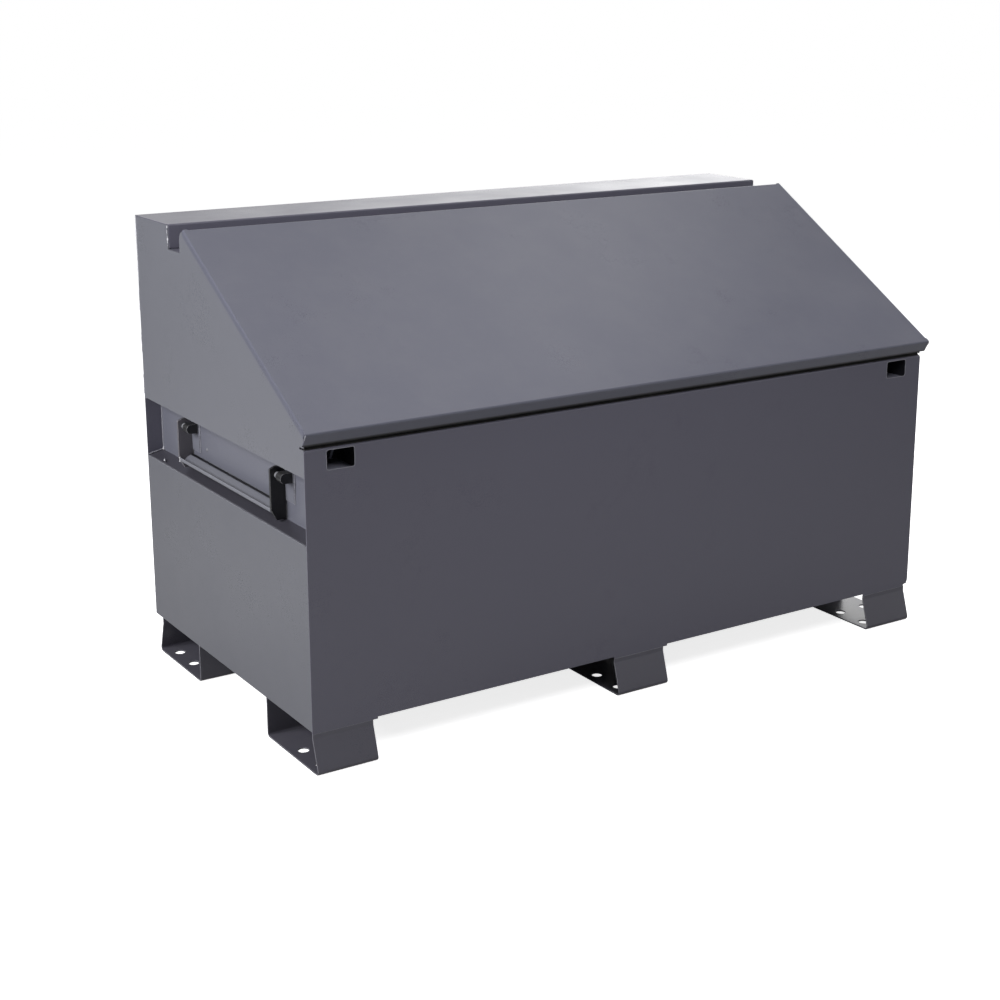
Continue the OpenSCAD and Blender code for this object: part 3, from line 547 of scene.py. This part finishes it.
# %% Turned pieces
TURN_STEPS = 40

def turned(name, base, axis, profile, material, body, stands_for=None):
    axis = Vector(axis).normalized()
    side = axis.orthogonal().normalized()
    other = axis.cross(side)
    angles = [2 * math.pi * k / TURN_STEPS for k in range(TURN_STEPS)]
    spokes = [side * math.cos(angle) + other * math.sin(angle) for angle in angles]
    edit = bmesh.new()
    rings = []
    for along, radius in profile:
        centre = Vector(base) + axis * along * MM
        if radius:
            rings.append([edit.verts.new(centre + spoke * radius * MM) for spoke in spokes])
        else:
            rings.append([edit.verts.new(centre)] * TURN_STEPS)
    if profile[0] == profile[-1]:
        for v in rings.pop():
            edit.verts.remove(v)
        rings.append(rings[0])
    for low, high in zip(rings, rings[1:]):
        for here in range(TURN_STEPS):
            after = (here + 1) % TURN_STEPS
            edit.faces.new(list(dict.fromkeys((low[here], low[after], high[after], high[here]))))
    bmesh.ops.recalc_face_normals(edit, faces=edit.faces)
    mesh = bpy.data.meshes.new(name)
    edit.to_mesh(mesh)
    edit.free()
    mesh.materials.append(material)
    mesh.shade_smooth()
    mesh.set_sharp_from_angle(angle=SHARP_ABOVE)
    piece = linked(name, mesh)
    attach(piece, body)
    if stands_for:
        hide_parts(stands_for)


print("a turned piece has", TURN_STEPS, "sides")

# %% [markdown]
# Each handle turns on two pins, which have a shallow groove just past the arm and a rounded end.
# The rivets in the recess are plain ones: a low dome, a short shank and the head that the hammer
# made. The hinge pin is a long rod with a chamfer at each end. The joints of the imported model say
# where the pins' axes run, and its pins say where they start.

# %% Pins and rivets
HANDLE_PIVOT = joint_place("left_handle_pivot")
PIN_LENGTH, PIN_RADIUS, PIN_CHAMFER, PIN_CROWN = 39.9, 6.5, 0.6, 0.8
GROOVE_FROM, GROOVE_TO, GROOVE_RADIUS = 37.6, 38.3, 5.9
PIN_PROFILE = [
    (0, 0), (0, PIN_RADIUS - PIN_CHAMFER), (PIN_CHAMFER, PIN_RADIUS), (GROOVE_FROM, PIN_RADIUS),
    (GROOVE_FROM, GROOVE_RADIUS), (GROOVE_TO, GROOVE_RADIUS), (GROOVE_TO, PIN_RADIUS),
    (PIN_LENGTH - PIN_CROWN, PIN_RADIUS), (PIN_LENGTH, PIN_RADIUS - PIN_CROWN), (PIN_LENGTH, 0)
]
RIVET_PLACE = (36, 522, 500)
SHANK_RADIUS, SHANK_LENGTH, HEAD_RADIUS = 2, 2, 3.3
RIVET_PROFILE = [
    (-1.8, 0), (-1.6, 1.6), (-1, 2.7), (0, HEAD_RADIUS), (0, SHANK_RADIUS), (SHANK_LENGTH, SHANK_RADIUS),
    (SHANK_LENGTH, 3.1), (3.2, 2.6), (3.6, 1.2), (3.6, 0)
]
for side in SIDES:
    right = side == "right"
    for pin in (f"{side}_front_pin", f"{side}_rear_pin"):
        start = at(HANDLE_PIVOT[0], node_box(pin)[0][1], HANDLE_PIVOT[2], right)
        turned(pin + "_turned", start, (0, 1, 0), PIN_PROFILE, DULL_ZINC, "body", pin)
    turned(f"{side}_rivet_turned", at(*RIVET_PLACE, right), inward(right), RIVET_PROFILE, DULL_ZINC,
           "body", "channel_rivets" if right else None)

HINGE = joint_place("lid_hinge")
HINGE_ROD, HINGE_CHAMFER = 2.5, 0.6
hinge_from, hinge_to = [corner[0] for corner in node_box("hinge_pin")]
hinge_long = hinge_to - hinge_from
hinge_profile = [
    (0, 0), (0, HINGE_ROD - HINGE_CHAMFER), (HINGE_CHAMFER, HINGE_ROD),
    (hinge_long - HINGE_CHAMFER, HINGE_ROD), (hinge_long, HINGE_ROD - HINGE_CHAMFER), (hinge_long, 0)
]
turned("hinge_pin_turned", at(hinge_from, *HINGE[1:]), (1, 0, 0), hinge_profile, ZINC,
       "body", "hinge_pin")
print("4 handle pins, 2 rivets and a hinge pin of", hinge_long, "mm")

# %% [markdown]
# A gas spring is a black tube with a rolled end, a bright rod that slides in it, and an eye at
# each end. The tube and the rod are two pieces, because the rod slides when the lid opens. The
# swing joint gives the tube's lower eye and the slide joint gives the spring's direction; lengths
# along it count from the lower eye.

# %% Gas springs
SPRING_FOOT = joint_place("left_spring_swing")
SPRING_AXIS = Vector(JOINTS["left_spring_stroke"]["axis"])
CLOSED = 279.73
NECK = 8.2
TUBE_RADIUS, ROLL_RADIUS, ROD_RADIUS, ROD_HOLE = 11, 10.1, 4, 4.06
TUBE = [
    (NECK, 0), (NECK, 4.9), (15, 4.9), (15.4, 8.5), (16.2, 10.2), (18, TUBE_RADIUS), (226, TUBE_RADIUS),
    (228, ROLL_RADIUS), (231, ROLL_RADIUS), (233, TUBE_RADIUS), (242, TUBE_RADIUS), (244.6, 9.6), (245.7, 7),
    (245.7, ROD_HOLE), (200, ROD_HOLE), (200, 0)
]
ROD = [
    (60, 0), (60, ROD_RADIUS), (258, ROD_RADIUS), (258, 5.2), (259, 6), (267, 6), (268, 5.2), (268, 4.6),
    (CLOSED - NECK, 4.6), (CLOSED - NECK, 0)
]
EYE_HALF, EYE_RADIUS, EYE_CHAMFER, EYE_HOLE = 5, 9, 0.8, 4.06
EYE = [
    (-EYE_HALF, EYE_HOLE), (-EYE_HALF, EYE_RADIUS - EYE_CHAMFER), (EYE_CHAMFER - EYE_HALF, EYE_RADIUS),
    (EYE_HALF - EYE_CHAMFER, EYE_RADIUS), (EYE_HALF, EYE_RADIUS - EYE_CHAMFER), (EYE_HALF, EYE_HOLE),
    (-EYE_HALF, EYE_HOLE)
]
for side in SIDES:
    tube_body, rod_body = f"{side}_spring_tube", f"{side}_spring_rod_body"
    foot_end = at(*SPRING_FOOT, side == "right")
    lid_end = foot_end + SPRING_AXIS * CLOSED * MM
    turned(f"{side}_tube_turned", foot_end, SPRING_AXIS, TUBE, SPRING_BLACK,
           tube_body, f"{side}_spring_cylinder")
    turned(f"{side}_tube_eye", foot_end, (1, 0, 0), EYE, SPRING_BLACK, tube_body)
    turned(f"{side}_rod_turned", foot_end, SPRING_AXIS, ROD, CHROME,
           rod_body, f"{side}_spring_rod")
    turned(f"{side}_rod_eye", lid_end, (1, 0, 0), EYE, CHROME, rod_body)
print("gas spring, closed length", CLOSED, "mm")

# %% [markdown]
# The seals are drawn rubber: one outline, a flat foot with a bulb on it, pulled along an edge.
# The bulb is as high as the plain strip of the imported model, so the lid meets the same line. The
# front one runs on past that strip at both ends, nearly to the sides, as a fitted seal would.

# %% Rubber seals
BULB_STEPS, BULB_FROM, BULB_SWEEP = 24, -62, 304
FOOT_HIGH, FOOT_CHAMFER = 2, 0.6
RUBBER_SHARP = math.radians(40)

def bulb(width, height, radius):
    middle, centre = width / 2, height - radius
    turns = [math.radians(BULB_FROM + BULB_SWEEP * k / BULB_STEPS) for k in range(BULB_STEPS + 1)]
    dome = [(middle + radius * math.cos(a), centre + radius * math.sin(a)) for a in turns]
    shoulder = FOOT_HIGH - FOOT_CHAMFER
    foot = [(0, 0), (width, 0), (width, shoulder), (width - FOOT_CHAMFER, FOOT_HIGH)]
    return foot + dome + [(FOOT_CHAMFER, FOOT_HIGH), (0, shoulder)]


def drawn(name, outline, corner, across, up, along, stands_for):
    ring = [corner + (Vector(across) * a + Vector(up) * b) * MM for a, b in outline]
    edit = bmesh.new()
    ends = [[edit.verts.new(place + end) for place in ring] for end in (Vector((0, 0, 0)), Vector(along))]
    for here in range(len(outline)):
        after = (here + 1) % len(outline)
        edit.faces.new([ends[0][here], ends[0][after], ends[1][after], ends[1][here]])
    for end in ends:
        edit.faces.new(end)
    bmesh.ops.recalc_face_normals(edit, faces=edit.faces)
    mesh = bpy.data.meshes.new(name)
    edit.to_mesh(mesh)
    edit.free()
    mesh.materials.append(RUBBER)
    mesh.shade_smooth()
    mesh.set_sharp_from_angle(angle=RUBBER_SHARP)
    piece = linked(name, mesh)
    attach(piece, "body")
    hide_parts(stands_for)


FRONT_SEAL_END, FRONT_BULB = 3, 4.6
seal_low, seal_high = node_box("front_seal")
front_outline = bulb(seal_high[1] - seal_low[1], seal_high[2] - seal_low[2], FRONT_BULB)
drawn("front_seal_drawn", front_outline, at(FRONT_SEAL_END, seal_low[1], seal_low[2]), (0, 1, 0), (0, 0, 1),
      ((LENGTH - 2 * FRONT_SEAL_END) * MM, 0, 0), "front_seal")
SIDE_SEAL_IN, SIDE_SEAL_END, SIDE_SEAL_UNDER = 4, 30, 8
SIDE_SEAL_WIDTH, SIDE_SEAL_HEIGHT, SIDE_BULB = 12, 5.7, 2.1
side_outline = bulb(SIDE_SEAL_WIDTH, SIDE_SEAL_HEIGHT, SIDE_BULB)
for side in SIDES:
    right = side == "right"
    corner = on_lid(SIDE_SEAL_IN, SIDE_SEAL_END, -SIDE_SEAL_UNDER, right)
    drawn(f"{side}_seal_drawn", side_outline, corner, inward(right), OFF_LID,
          UP_SLOPE * (SLANT - 2 * SIDE_SEAL_END) * MM, f"{side}_seal")
print("seals: 3, front one", LENGTH - 2 * FRONT_SEAL_END, "mm")

# %% [markdown]
# A weld is a row of small frozen puddles. The tree below walks along any line at an even pitch
# and lays a squashed ball at each step, a little larger or smaller each time, so that the balls
# run into one rippled bead. The same tree serves every seam; only the lines and widths differ.

# %% Weld bead by Geometry Nodes
PUDDLE_STRETCH = 0.95

def recipe(name, inputs):
    tree = bpy.data.node_groups.new(name, "GeometryNodeTree")
    tree.interface.new_socket("Geometry", in_out="INPUT", socket_type="NodeSocketGeometry")
    for label, kind, value in inputs:
        socket = tree.interface.new_socket(label, in_out="INPUT", socket_type="NodeSocket" + kind)
        if value is not None:
            socket.default_value = value
    tree.interface.new_socket("Geometry", in_out="OUTPUT", socket_type="NodeSocketGeometry")
    return tree, tree.nodes.new("NodeGroupInput").outputs, tree.nodes.new("NodeGroupOutput").inputs


def made_uneven(tree, given, value):
    low = maths(tree, "SUBTRACT", 1.0, given["Uneven"])
    high = maths(tree, "ADD", 1.0, given["Uneven"])
    values = {2: low, 3: high, 8: given["Seed"]}
    share = add(tree, "FunctionNodeRandomValue", values, data_type="FLOAT").outputs[1]
    return maths(tree, "MULTIPLY", value, share)


def finished(tree, instances, material, out):
    real = add(tree, "GeometryNodeRealizeInstances", {0: instances}).outputs[0]
    smooth = add(tree, "GeometryNodeSetShadeSmooth", {0: real}).outputs[0]
    coated_mesh = add(tree, "GeometryNodeSetMaterial", {"Geometry": smooth, "Material": material})
    join(tree, coated_mesh.outputs[0], out[0])


BEAD, given, out = recipe("weld bead", [
    ("Half width", "Float", 0.002), ("Pitch", "Float", 0.002), ("Uneven", "Float", 0.2), ("Seed", "Int", 1),
    ("Material", "Material", None)
])
line = add(BEAD, "GeometryNodeMeshToCurve", {0: given["Geometry"]}).outputs[0]
steps = add(BEAD, "GeometryNodeCurveToPoints", {"Curve": line, "Length": given["Pitch"]}, mode="LENGTH")
wide = made_uneven(BEAD, given, given["Half width"])
long = maths(BEAD, "MULTIPLY", given["Pitch"], PUDDLE_STRETCH)
size = add(BEAD, "ShaderNodeCombineXYZ", {0: wide, 1: wide, 2: long}).outputs[0]
puddle = add(BEAD, "GeometryNodeMeshUVSphere", {"Segments": 10, "Rings": 6, "Radius": 1.0}).outputs[0]
laid = add(BEAD, "GeometryNodeInstanceOnPoints", {
    "Points": steps.outputs["Points"], "Instance": puddle,
    "Rotation": steps.outputs["Rotation"], "Scale": size
}).outputs[0]
finished(BEAD, laid, given["Material"], out)
print("weld bead tree:", len(BEAD.nodes), "nodes")

# %% [markdown]
# A tree needs a plain mesh of points and lines to work on. The helper below makes that mesh, sets
# the tree's inputs by their identifiers, and turns the result into a plain mesh, because the
# export drops instances. Long seams in thin sheet are stitched, so that the heat doesn't warp it:
# short beads at an even pitch, with the rest of the length shared between the two ends.

# %% Grow a tree along lines
CORNER_SEAM = (575, 800)
CORNER_STITCH, CORNER_PITCH = 40, 90

def grown(name, tree, lines, values, body):
    places, links = [], []
    for line in lines:
        links += [(len(places) + k, len(places) + k + 1) for k in range(len(line) - 1)]
        places += [tuple(v) for v in line]
    mesh = bpy.data.meshes.new(name)
    mesh.from_pydata(places, links, [])
    piece = linked(name, mesh)
    maker = piece.modifiers.new("maker", "NODES")
    maker.node_group = tree
    for socket in tree.interface.items_tree:
        if socket.in_out == "INPUT" and socket.name in values:
            maker[socket.identifier] = values[socket.name]
    frozen(piece)
    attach(piece, body)
    print(name, "triangles", sum(len(face.vertices) - 2 for face in piece.data.polygons))


def bead(half_width, pitch, uneven, seed, material):
    sizes = {"Half width": half_width * MM, "Pitch": pitch * MM}
    return sizes | {"Uneven": uneven, "Seed": seed, "Material": material}


def frame_line(corner, across, up, wide, tall):
    along_foot, along_side = Vector(across) * wide * MM, Vector(up) * tall * MM
    return [corner, corner + along_foot, corner + along_foot + along_side, corner + along_side, corner]


def stitches(start, end, long, pitch):
    run = (end - start).length / MM
    count = max(1, int((run + pitch - long) // pitch))
    way = (end - start).normalized()
    first = (run - (count - 1) * pitch - long) / 2
    starts = [start + way * (first + k * pitch) * MM for k in range(count)]
    return [[place, place + way * long * MM] for place in starts]


corner_ends = [at(0, 0, z) for z in CORNER_SEAM]
print("stitches in a rear corner:", len(stitches(*corner_ends, CORNER_STITCH, CORNER_PITCH)))

# %% [markdown]
# The welds follow the joints of the plates. A bracket's flange is welded all round, the ends of
# the recess along their inside, the rear corners and the feet in short stitches. The coat covers
# those, in a paler colour that paints the highlight along the beads. A few short welds at corners
# and edges are near white, a painted glint. Proud is how far a bead's line stands off the plate
# that it lies on, and beside is how far it lies from the edge that it joins, so that the bead
# sinks into both.

# %% Welds of the body
PROUD, BESIDE = 0.6, 0.4
FOOT_STITCH, FOOT_PITCH, FOOT_SEAM_IN = 32, 44, 3
REAR_JOINT = node_box("rear_panel")[0][1]
SIDE_INSIDE = node_box("left_lower_side")[1][0]
RECESS_WALL = node_box("left_front_bracket")[1][0]
recess_low, recess_high = node_box("left_handle_channel")
RECESS_ENDS = (recess_low[1] + PROUD, recess_high[1] - PROUD)
RECESS_SECTION = [(3, 566.6), (RECESS_WALL - BESIDE, 566.6), (RECESS_WALL - BESIDE, 450), (3, 443.5)]
BRIGHT_PLACES = {
    "rear corner": [(0, 759.8, 818), (0, 759.8, 950)],
    "notch": [(0.8, 590.5, 909), (0.8, 590.5, 952)],
    "end of the recess": [(34.8, 757.5, 446), (34.8, 757.5, 453)],
    "ledge of the recess": [(10.5, 693, 445.4), (5.5, 679, 444.6)],
    "end of the grip": [(3, 588, 466), (3, 588, 473.5)]
}

def flange_seam(node, x, right):
    low, high = node_box(node)
    corner = at(x, low[1] - BESIDE, low[2] - BESIDE, right)
    wide, tall = high[1] - low[1] + 2 * BESIDE, high[2] - low[2] + 2 * BESIDE
    return frame_line(corner, (0, 1, 0), (0, 0, 1), wide, tall)


seams, bright = [], []
for side in SIDES:
    right = side == "right"
    corner = [at(BESIDE, REAR_JOINT + BESIDE, z, right) for z in CORNER_SEAM]
    seams += stitches(*corner, CORNER_STITCH, CORNER_PITCH)
    bright += [[at(*place, right) for place in places] for places in BRIGHT_PLACES.values()]
    for bracket in ("left_front_bracket", "left_rear_bracket"):
        seams.append(flange_seam(bracket, RECESS_WALL - PROUD, right))
    seams.append(flange_seam("left_spring_bracket", SIDE_INSIDE + PROUD, right))
    for y in RECESS_ENDS:
        seams.append([at(x, y, z, right) for x, z in RECESS_SECTION])
for place in ("left", "middle", "right"):
    for end in ("front", "rear"):
        low, high = node_box(f"{end}_{place}_foot")
        y = high[1] + PROUD if end == "front" else low[1] - PROUD
        ends = [at(x, y, high[2] - BESIDE) for x in (low[0] + FOOT_SEAM_IN, high[0] - FOOT_SEAM_IN)]
        seams += stitches(*ends, FOOT_STITCH, FOOT_PITCH)
body_bead = bead(half_width=1.5, pitch=1.9, uneven=0.3, seed=3, material=WELD_HIGHLIGHT)
bright_bead = bead(half_width=1.3, pitch=1.9, uneven=0.45, seed=8, material=WELD_GLINT)
grown("body_welds", BEAD, seams, body_bead, "body")
grown("bright_welds", BEAD, bright, bright_bead, "body")

# %% [markdown]
# The two lock openings are cut through the front panel, and a pale rim round their edge paints
# the highlight that the cut edge catches. A fine bead round each opening gives it. The line that
# the bead follows is a rectangle with round corners, a few points to each quarter turn.

# %% Painted highlight round the lock openings
OPENING_MIDDLE = (72.5, 596.75)
OPENING_HALF = (28.5, 18.75)
OPENING_ROUND = 4.5
ROUND_STEPS = 3
RIM_DEPTH = 0.1
rim_highlights = []
for side in SIDES:
    rim = []
    for quarter, (sx, sz) in enumerate(((1, 1), (-1, 1), (-1, -1), (1, -1))):
        for step in range(ROUND_STEPS + 1):
            angle = math.radians(90 * (quarter + step / ROUND_STEPS))
            x = OPENING_MIDDLE[0] + sx * (OPENING_HALF[0] - OPENING_ROUND) + OPENING_ROUND * math.cos(angle)
            z = OPENING_MIDDLE[1] + sz * (OPENING_HALF[1] - OPENING_ROUND) + OPENING_ROUND * math.sin(angle)
            rim.append(at(x, RIM_DEPTH, z, side == "right"))
    rim_highlights.append(rim + rim[:1])
rim_highlight_bead = bead(half_width=0.65, pitch=1.3, uneven=0.2, seed=4, material=WELD_HIGHLIGHT)
grown("opening_rim_highlights", BEAD, rim_highlights, rim_highlight_bead, "body")

# %% [markdown]
# The lid has its own seams: the front corners of its skirt, both faces of each lock tab, and the
# flange of each spring bracket.

# %% Welds of the lid
SKIRT_CORNER = [(-5.4, 0.5, -2.5), (-5.4, 0.5, -11.5)]
TAB_SEAM_FROM, TAB_SEAM_TO = 18, 40
BRACKET_SEAM_CORNER = (46.6, 249.6, -5.2)
BRACKET_SEAM_WIDE, BRACKET_SEAM_TALL = 26, 40.8
tab_low, tab_high = node_box("left_lock_tab")
lid_seams = []
for side in SIDES:
    right = side == "right"
    lid_seams.append([on_lid(*place, right) for place in SKIRT_CORNER])
    for x in (tab_low[0] - BESIDE, tab_high[0] + BESIDE):
        lid_seams.append([at(x, y, tab_high[2] - BESIDE, right) for y in (TAB_SEAM_FROM, TAB_SEAM_TO)])
    lid_seams.append(frame_line(
        on_lid(*BRACKET_SEAM_CORNER, right), inward(right), UP_SLOPE, BRACKET_SEAM_WIDE, BRACKET_SEAM_TALL
    ))
lid_bead = bead(half_width=1.2, pitch=1.7, uneven=0.3, seed=5, material=WELD_HIGHLIGHT)
grown("lid_welds", BEAD, lid_seams, lid_bead, "lid")

# %% [markdown]
# Rivet heads and spot welds are the same idea with the steps given one by one: the tree puts a
# low dome at each point and turns it to face a direction. Flat and wide it is a spot weld, the
# small dimple that two electrodes leave; round and proud it is the head of a rivet.

# %% Rivets and spot welds by Geometry Nodes
HEADS, given, out = recipe("heads", [
    ("Radius", "Float", 0.003), ("Height", "Float", 0.001), ("Direction", "Vector", (0, 0, 1)),
    ("Uneven", "Float", 0.05), ("Seed", "Int", 1), ("Material", "Material", None)
])
faced = add(HEADS, "FunctionNodeAlignRotationToVector", {"Vector": given["Direction"]}, axis="Z").outputs[0]
wide = made_uneven(HEADS, given, given["Radius"])
size = add(HEADS, "ShaderNodeCombineXYZ", {0: wide, 1: wide, 2: given["Height"]}).outputs[0]
dome = add(HEADS, "GeometryNodeMeshUVSphere", {"Segments": 20, "Rings": 10, "Radius": 1.0}).outputs[0]
points = add(HEADS, "GeometryNodeMeshToPoints", {0: given["Geometry"]}).outputs[0]
set_in = add(HEADS, "GeometryNodeInstanceOnPoints", {
    "Points": points, "Instance": dome, "Rotation": faced, "Scale": size
}).outputs[0]
finished(HEADS, set_in, given["Material"], out)


def head(radius, height, uneven, seed, material, direction=(0, 0, 1)):
    sizes = {"Radius": radius * MM, "Height": height * MM}
    return sizes | {"Uneven": uneven, "Seed": seed, "Material": material, "Direction": Vector(direction)}


def row(start, end, count):
    return [start + (end - start) * k / (count - 1) for k in range(count)]


print("heads tree:", len(HEADS.nodes), "nodes")

# %% [markdown]
# The hinge's two leaves are riveted, one row each. Each rib is spot-welded to the skin along its
# two flanges, and so are the lips of the recess to the side panels, above and below it.

# %% Rows of rivets and spot welds
LEAF_RIVETS, LEAF_RIVET_IN = 25, 42
LEAF_ENDS = (LEAF_RIVET_IN, LENGTH - LEAF_RIVET_IN)
RIVET_HEAD = {"radius": 3.4, "height": 1.5, "uneven": 0.02, "seed": 2, "material": ZINC}
BODY_LEAF_ROW = (552, 907.5)
LID_LEAF_ROW = (SLANT + 2, -30)
SPOT = {"radius": 2.6, "height": 0.35, "uneven": 0.15, "seed": 9}
RIB_SPOTS, RIB_FROM, RIB_TO, RIB_FLANGE, RIB_UNDER = 10, 80, 540, 25, 3.5
LIP_SPOTS, LIP_FROM, LIP_TO, LIP_IN, LIP_HEIGHTS = 9, 60, 700, 4, (580, 429)
body_row = row(*[at(x, *BODY_LEAF_ROW) for x in LEAF_ENDS], LEAF_RIVETS)
grown("body_leaf_rivets", HEADS, [body_row], head(**RIVET_HEAD), "body")
lid_row = row(*[on_lid(x, *LID_LEAF_ROW) for x in LEAF_ENDS], LEAF_RIVETS)
grown("lid_leaf_rivets", HEADS, [lid_row], head(**RIVET_HEAD, direction=UP_SLOPE), "lid")
rib_spots = []
for rib in RIBS:
    low, high = node_box(rib)
    for edge in (-RIB_FLANGE, RIB_FLANGE):
        x = (low[0] + high[0]) / 2 + edge
        rib_spots.append(row(on_lid(x, RIB_FROM, -RIB_UNDER), on_lid(x, RIB_TO, -RIB_UNDER), RIB_SPOTS))
rib_spot = head(**SPOT, material=LID_GRAPHITE, direction=-OFF_LID)
grown("rib_spot_welds", HEADS, rib_spots, rib_spot, "lid")
for side in SIDES:
    right = side == "right"
    lip_ends = [[at(LIP_IN, y, z, right) for y in (LIP_FROM, LIP_TO)] for z in LIP_HEIGHTS]
    lip_spots = [row(*ends, LIP_SPOTS) for ends in lip_ends]
    lip_spot = head(**SPOT, material=GRAPHITE, direction=inward(right))
    grown(f"{side}_lip_spot_welds", HEADS, lip_spots, lip_spot, "body")

# %% [markdown]
# The studio is plain. The floor is white to the camera and keeps the shadow of the box, but it
# throws only part of that light back: Light Path tells the camera's rays from the others, so that
# the underside and the feet stay dark.

# %% Floor
FLOOR_SIZE = 30.0
FLOOR_GLOW = 0.8
FLOOR_SEEN, FLOOR_BOUNCE = 0.9, 0.42
half = FLOOR_SIZE / 2
floor_corners = [(-half, -half, 0), (half, -half, 0), (half, half, 0), (-half, half, 0)]
floor_mesh = bpy.data.meshes.new("floor")
floor_mesh.from_pydata(floor_corners, [], [(0, 1, 2, 3)])
floor = linked("floor", floor_mesh)
floor_material, tree, floor_shader = new_material("floor")
floor_shader.inputs["Roughness"].default_value = 1.0
floor_shader.inputs["Specular IOR Level"].default_value = 0.0
floor_shader.inputs["Emission Color"].default_value = (1, 1, 1, 1)
path = add(tree, "ShaderNodeLightPath").outputs["Is Camera Ray"]
join(tree, ramp(tree, path, 0.0, 1.0, FLOOR_BOUNCE, FLOOR_SEEN), floor_shader.inputs["Base Color"])
join(tree, maths(tree, "MULTIPLY", path, FLOOR_GLOW), floor_shader.inputs["Emission Strength"])
floor_mesh.materials.append(floor_material)
print("floor", FLOOR_SIZE, "m wide")

# %% [markdown]
# The world has three jobs, which Light Path keeps apart as well. The camera sees it white; the
# light that it throws on the box stays low; and a shiny face sees a wall above the horizon, which
# brightens to the right and to the rear, and a lit ceiling.

# %% World
WORLD_LEVEL = 0.22
HORIZON, WALL_TOP = (0.0, 0.12), (0.3, 0.7)
WALL_ACROSS, WALL_LEFT, WALL_RIGHT = (0.3, 0.68), 0.75, 3.0
WALL_BACK, WALL_FRONT_SHARE = (0.3, 0.65), 0.3
CEILING_RISE, CEILING_LOW, CEILING_HIGH = (0.80, 0.86), 0.1, 1.0
world = bpy.data.worlds.new("studio")
bpy.context.scene.world = world
world.use_nodes = True
tree = world.node_tree
background = tree.nodes["Background"]
path = add(tree, "ShaderNodeLightPath")
seen = maths(tree, "MAXIMUM", path.outputs["Is Camera Ray"], path.outputs["Is Transmission Ray"])
ray = add(tree, "ShaderNodeSeparateXYZ", {0: add(tree, "ShaderNodeTexCoord").outputs["Generated"]})
height = ray.outputs["Z"]
upright = maths(tree, "MULTIPLY", ramp(tree, height, *HORIZON), ramp(tree, height, *WALL_TOP, 1.0, 0.0))
to_the_rear = ramp(tree, ray.outputs["Y"], *WALL_BACK, WALL_FRONT_SHARE, 1.0)
to_the_right = ramp(tree, ray.outputs["X"], *WALL_ACROSS, WALL_LEFT, WALL_RIGHT)
wall = maths(tree, "MULTIPLY", upright, maths(tree, "MULTIPLY", to_the_rear, to_the_right))
rise = ramp(tree, height, *CEILING_RISE, CEILING_LOW, CEILING_HIGH)
ceiling = maths(tree, "MULTIPLY", ramp(tree, height, *WALL_TOP), rise)
mirrored = maths(tree, "MULTIPLY", path.outputs["Is Glossy Ray"], maths(tree, "ADD", wall, ceiling))
strength = maths(tree, "MAXIMUM", maths(tree, "MAXIMUM", seen, mirrored), WORLD_LEVEL)
background.inputs["Color"].default_value = (1, 1, 1, 1)
join(tree, strength, background.inputs["Strength"])
print("world level", WORLD_LEVEL)

# %% [markdown]
# Four soft lamps do the lighting and stay out of the reflections, which the wall and the ceiling
# give. The fifth is there only to be mirrored, as a gleam on the coat. Each lamp has a place, a
# point to aim at, the width of its square in metres and its power in watts.

# %% Lamps
def lamp(name, place, aim, size, watts, mirrored=False):
    data = bpy.data.lights.new(name, "AREA")
    data.shape = "SQUARE"
    data.size = size
    data.energy = watts
    made = bpy.data.objects.new(name, data)
    made.visible_glossy = mirrored
    bpy.context.scene.collection.objects.link(made)
    turn = (Vector(aim) - Vector(place)).to_track_quat("-Z", "Y")
    made.matrix_world = Matrix.Translation(place) @ turn.to_matrix().to_4x4()


lamp("key", (-2.8, -0.1, 1.6), (-0.76, 0, 0.7), 1.4, 90)
lamp("top", (0.9, 0.9, 3.5), (0.2, 0.2, 0.8), 2.4, 33)
lamp("fill", (-0.2, -1.8, 2.2), (0, -0.3, 0.5), 1.0, 29)
lamp("right", (3.1, 0.1, 2.2), (0.76, 0, 0.6), 1.6, 40)
lamp("gleam", (1.95, 0.93, 3.6), (0, 0, 0.8), 1.3, 6, mirrored=True)
print("lamps:", len(bpy.data.lights))

# %% [markdown]
# Last, a line to say that the scene is built. The pieces must stay inside the box that
# the plates fill.

# %% End
print("scene built")
